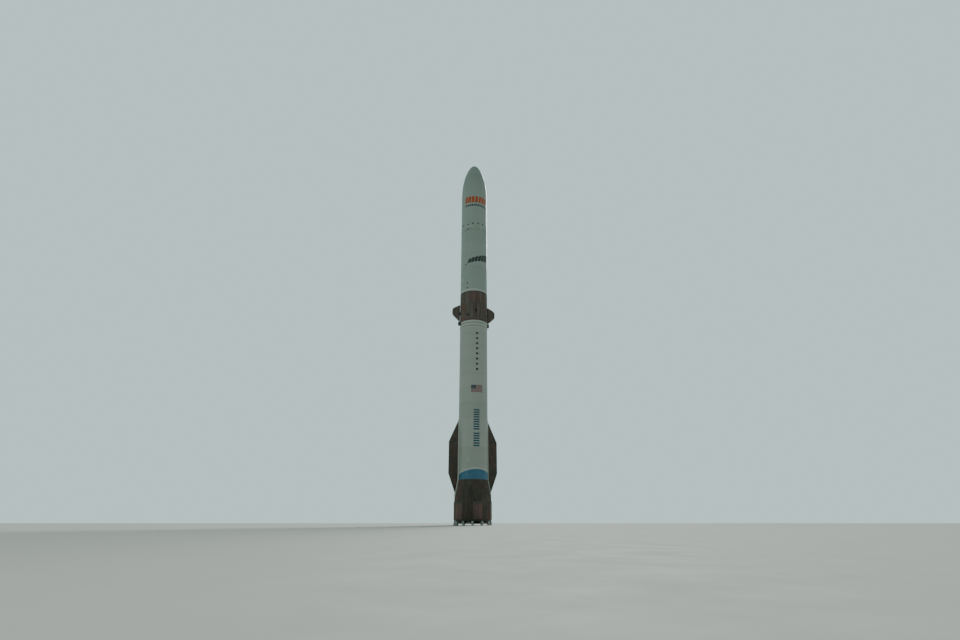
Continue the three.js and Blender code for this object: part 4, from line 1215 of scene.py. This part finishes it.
def make_ports():
    """Round covered ports in their rims, in columns beside the marks and round the module, and curved hatches."""
    stage_ports = [(height, angle) for angle in (48, 228) for height in (57.6, 58.95, 75.1)]
    module_ports = [(50.1, angle) for angle in (50, 140, 230, 320)]
    size = 0.28 * M
    for name, body, places, face, cover, rim in (
            ("stage_ports", ROOT, stage_ports, BODY_R, PORT_COVER, WHITE_TRIM),
            ("module_ports", ROOT, module_ports, BODY_R + 1.5 * MM, NEAR_BLACK, DARK_METAL),
            ("front_ports", "front_fairing", [(76.5, 228)], BODY_R, PORT_COVER, WHITE_TRIM),
            ("back_ports", "back_fairing", [(76.5, 48)], BODY_R, PORT_COVER, WHITE_TRIM)):
        disc = [(0, face - 4 * MM), (size, face - 4 * MM), (size, face + MM), (0, face + 0.8 * MM)]
        hoop = [(size, face - 3 * MM), (size + 3 * MM, face - 3 * MM), (size + 3 * MM, face + MM),
                (size + 1.5 * MM, face + 2 * MM), (size, face + 2 * MM)]
        for label, material, profile, closed in ((name, cover, disc, False), (name + "_rims", rim, hoop, True)):
            bm = bmesh.new()
            for height, angle in places:
                place = turn_z(radians(angle)) @ Matrix.Translation((0, 0, height * M))
                add_turned(bm, profile, 24, place @ Matrix.Rotation(pi / 2, 4, "Y"), closed)
            keep(bm, label, material, body=body)
    bm = bmesh.new()
    for height, angle, wide, tall in ((60.2, 200, 0.7, 1.0), (60.2, 20, 0.7, 1.0), (45.3, 200, 0.8, 1.1),
                                      (14.2, 235, 0.7, 1.0), (14.2, 55, 0.7, 1.0)):
        sizes = (-wide / 2, wide / 2, height - tall / 2, height + tall / 2)
        add_mark(bm, radians(angle), *(size * M for size in sizes))
    keep(bm, "hatches", HATCH_PAINT, 20)


def make_fairing_vents():
    """Louvred vents round the foot of each fairing half: three louvre bars in a pale frame, over a near-black sheet
    that is painted shade in the openings.
    """
    centre, wide, tall, bar = 76.72 * M, 0.24 * M, 0.2 * M, 0.03 * M
    for name, facing in (("front", FRONT), ("back", BACK)):
        frames = bmesh.new()
        vent_shade_sheet = bmesh.new()
        for offset in (-70, -20, 4, 28, 52, 74):
            angle = facing + radians(offset)
            # Painted shade: a near-black sheet across the whole vent, showing between the bars as the dark openings.
            add_mark(vent_shade_sheet, angle, -wide, wide, centre - tall, centre + tall)
            for low in (centre - tall, centre - 0.35 * tall, centre + 0.3 * tall):
                add_mark(frames, angle, -wide, wide, low, low + 0.35 * tall, radius=BODY_R + MM)
            for side in (-wide, wide - bar):
                add_mark(frames, angle, side, side + bar, centre - tall, centre + tall, radius=BODY_R + MM)
        keep(vent_shade_sheet, f"fairing_{name}_vents", NEAR_BLACK, 20, f"{name}_fairing")
        keep(frames, f"fairing_{name}_vent_frames", PORT_COVER, 20, f"{name}_fairing")


def finish_kept_nodes():
    """Finish for the frame's own nodes that stay shown."""
    kept = {"thrust_frame": DARK_METAL, "upper_engine_block": DARK_METAL}
    kept.update({f"gimbal_cross_{number}": BARE_METAL for number in range(1, 8)})
    for name, material in kept.items():
        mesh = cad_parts[name].data
        mesh.materials.clear()
        mesh.materials.append(material)


# Stage: floor, lights and camera
CAMERA_AZIMUTH = radians(-14.5)
CAMERA_DISTANCE = 12.795
CAMERA_HEIGHT = 0.05
CAMERA_PITCH = radians(21.07)
CAMERA_YAW = radians(0.743)
FOCAL_PIXELS = 526.7
IMAGE_WIDTH = 960


def make_camera():
    data = bpy.data.cameras.new("photo_view")
    data.sensor_width = 36.0
    data.lens = FOCAL_PIXELS / IMAGE_WIDTH * data.sensor_width
    data.clip_end = 500.0
    camera = link_object("photo_view", data)
    camera.location = (sin(CAMERA_AZIMUTH) * CAMERA_DISTANCE, -cos(CAMERA_AZIMUTH) * CAMERA_DISTANCE, CAMERA_HEIGHT)
    aim = turn_z(CAMERA_AZIMUTH - CAMERA_YAW) @ Matrix.Rotation(pi / 2 + CAMERA_PITCH, 4, "X")
    camera.rotation_euler = aim.to_euler()
    bpy.context.scene.camera = camera


def make_floor():
    size = 120.0
    mesh = bpy.data.meshes.new("floor")
    mesh.from_pydata([(-size, -size, 0), (size, -size, 0), (size, size, 0), (-size, size, 0)], [], [(0, 1, 2, 3)])
    mesh.materials.append(flat_paint("floor_surface", (0.83, 0.84, 0.82), (0.815, 0.825, 0.805), 0.9, 0.0,
                                     grain_scale=8.0))
    link_object("floor", mesh)


def add_light(name, kind, toward, colour, energy, **settings):
    """Light that shines against a direction."""
    data = bpy.data.lights.new(name, kind)
    data.color = colour
    data.energy = energy
    for key, value in settings.items():
        setattr(data, key, value)
    lamp = link_object(name, data)
    lamp.rotation_euler = Vector(toward).to_track_quat("Z", "Y").to_euler()
    return lamp


def make_lights():
    """Low sun behind the rocket, a soft fill from the left, and a pale sky that lights little by itself."""
    world = bpy.data.worlds.new("studio")
    bpy.context.scene.world = world
    world.use_nodes = True
    tree = world.node_tree
    path = node(tree, "ShaderNodeLightPath")
    seen, mirrored = path["Is Camera Ray"], path["Is Glossy Ray"]
    colour = blend_colours(tree, calc(tree, "MAXIMUM", seen, mirrored), (0.42, 0.65, 0.55), (0.57, 0.77, 0.77))
    strength = calc(tree, "MULTIPLY_ADD", mirrored, 0.4, remap(tree, seen, 0.0, 1.0, 0.15, 1.14))
    for label, value in (("Color", colour), ("Strength", strength)):
        feed(tree, tree.nodes["Background"].inputs[label], value)
    add_light("low_sun", "SUN", (0.345, 0.760, 0.551), (0.96, 1.0, 0.94), 2.6, angle=radians(14.0))
    place, target = Vector((-14, -6, 8)), Vector((0, 0, 4.5))
    fill = add_light("fill_light", "AREA", place - target, (0.74, 1.0, 0.88), 90, shape="RECTANGLE", size=9, size_y=12)
    fill.location = place


for make in (make_camera, make_floor, make_lights, make_feet, make_skirt, make_leg_panels, make_strakes, make_tank,
             make_forward_module, make_fins, make_pods, make_heat_shield, make_engines, make_second_stage,
             make_adapter, make_fairing, make_blue_band, make_joint_rings, make_marks, make_ports,
             make_fairing_vents, finish_kept_nodes):
    make()
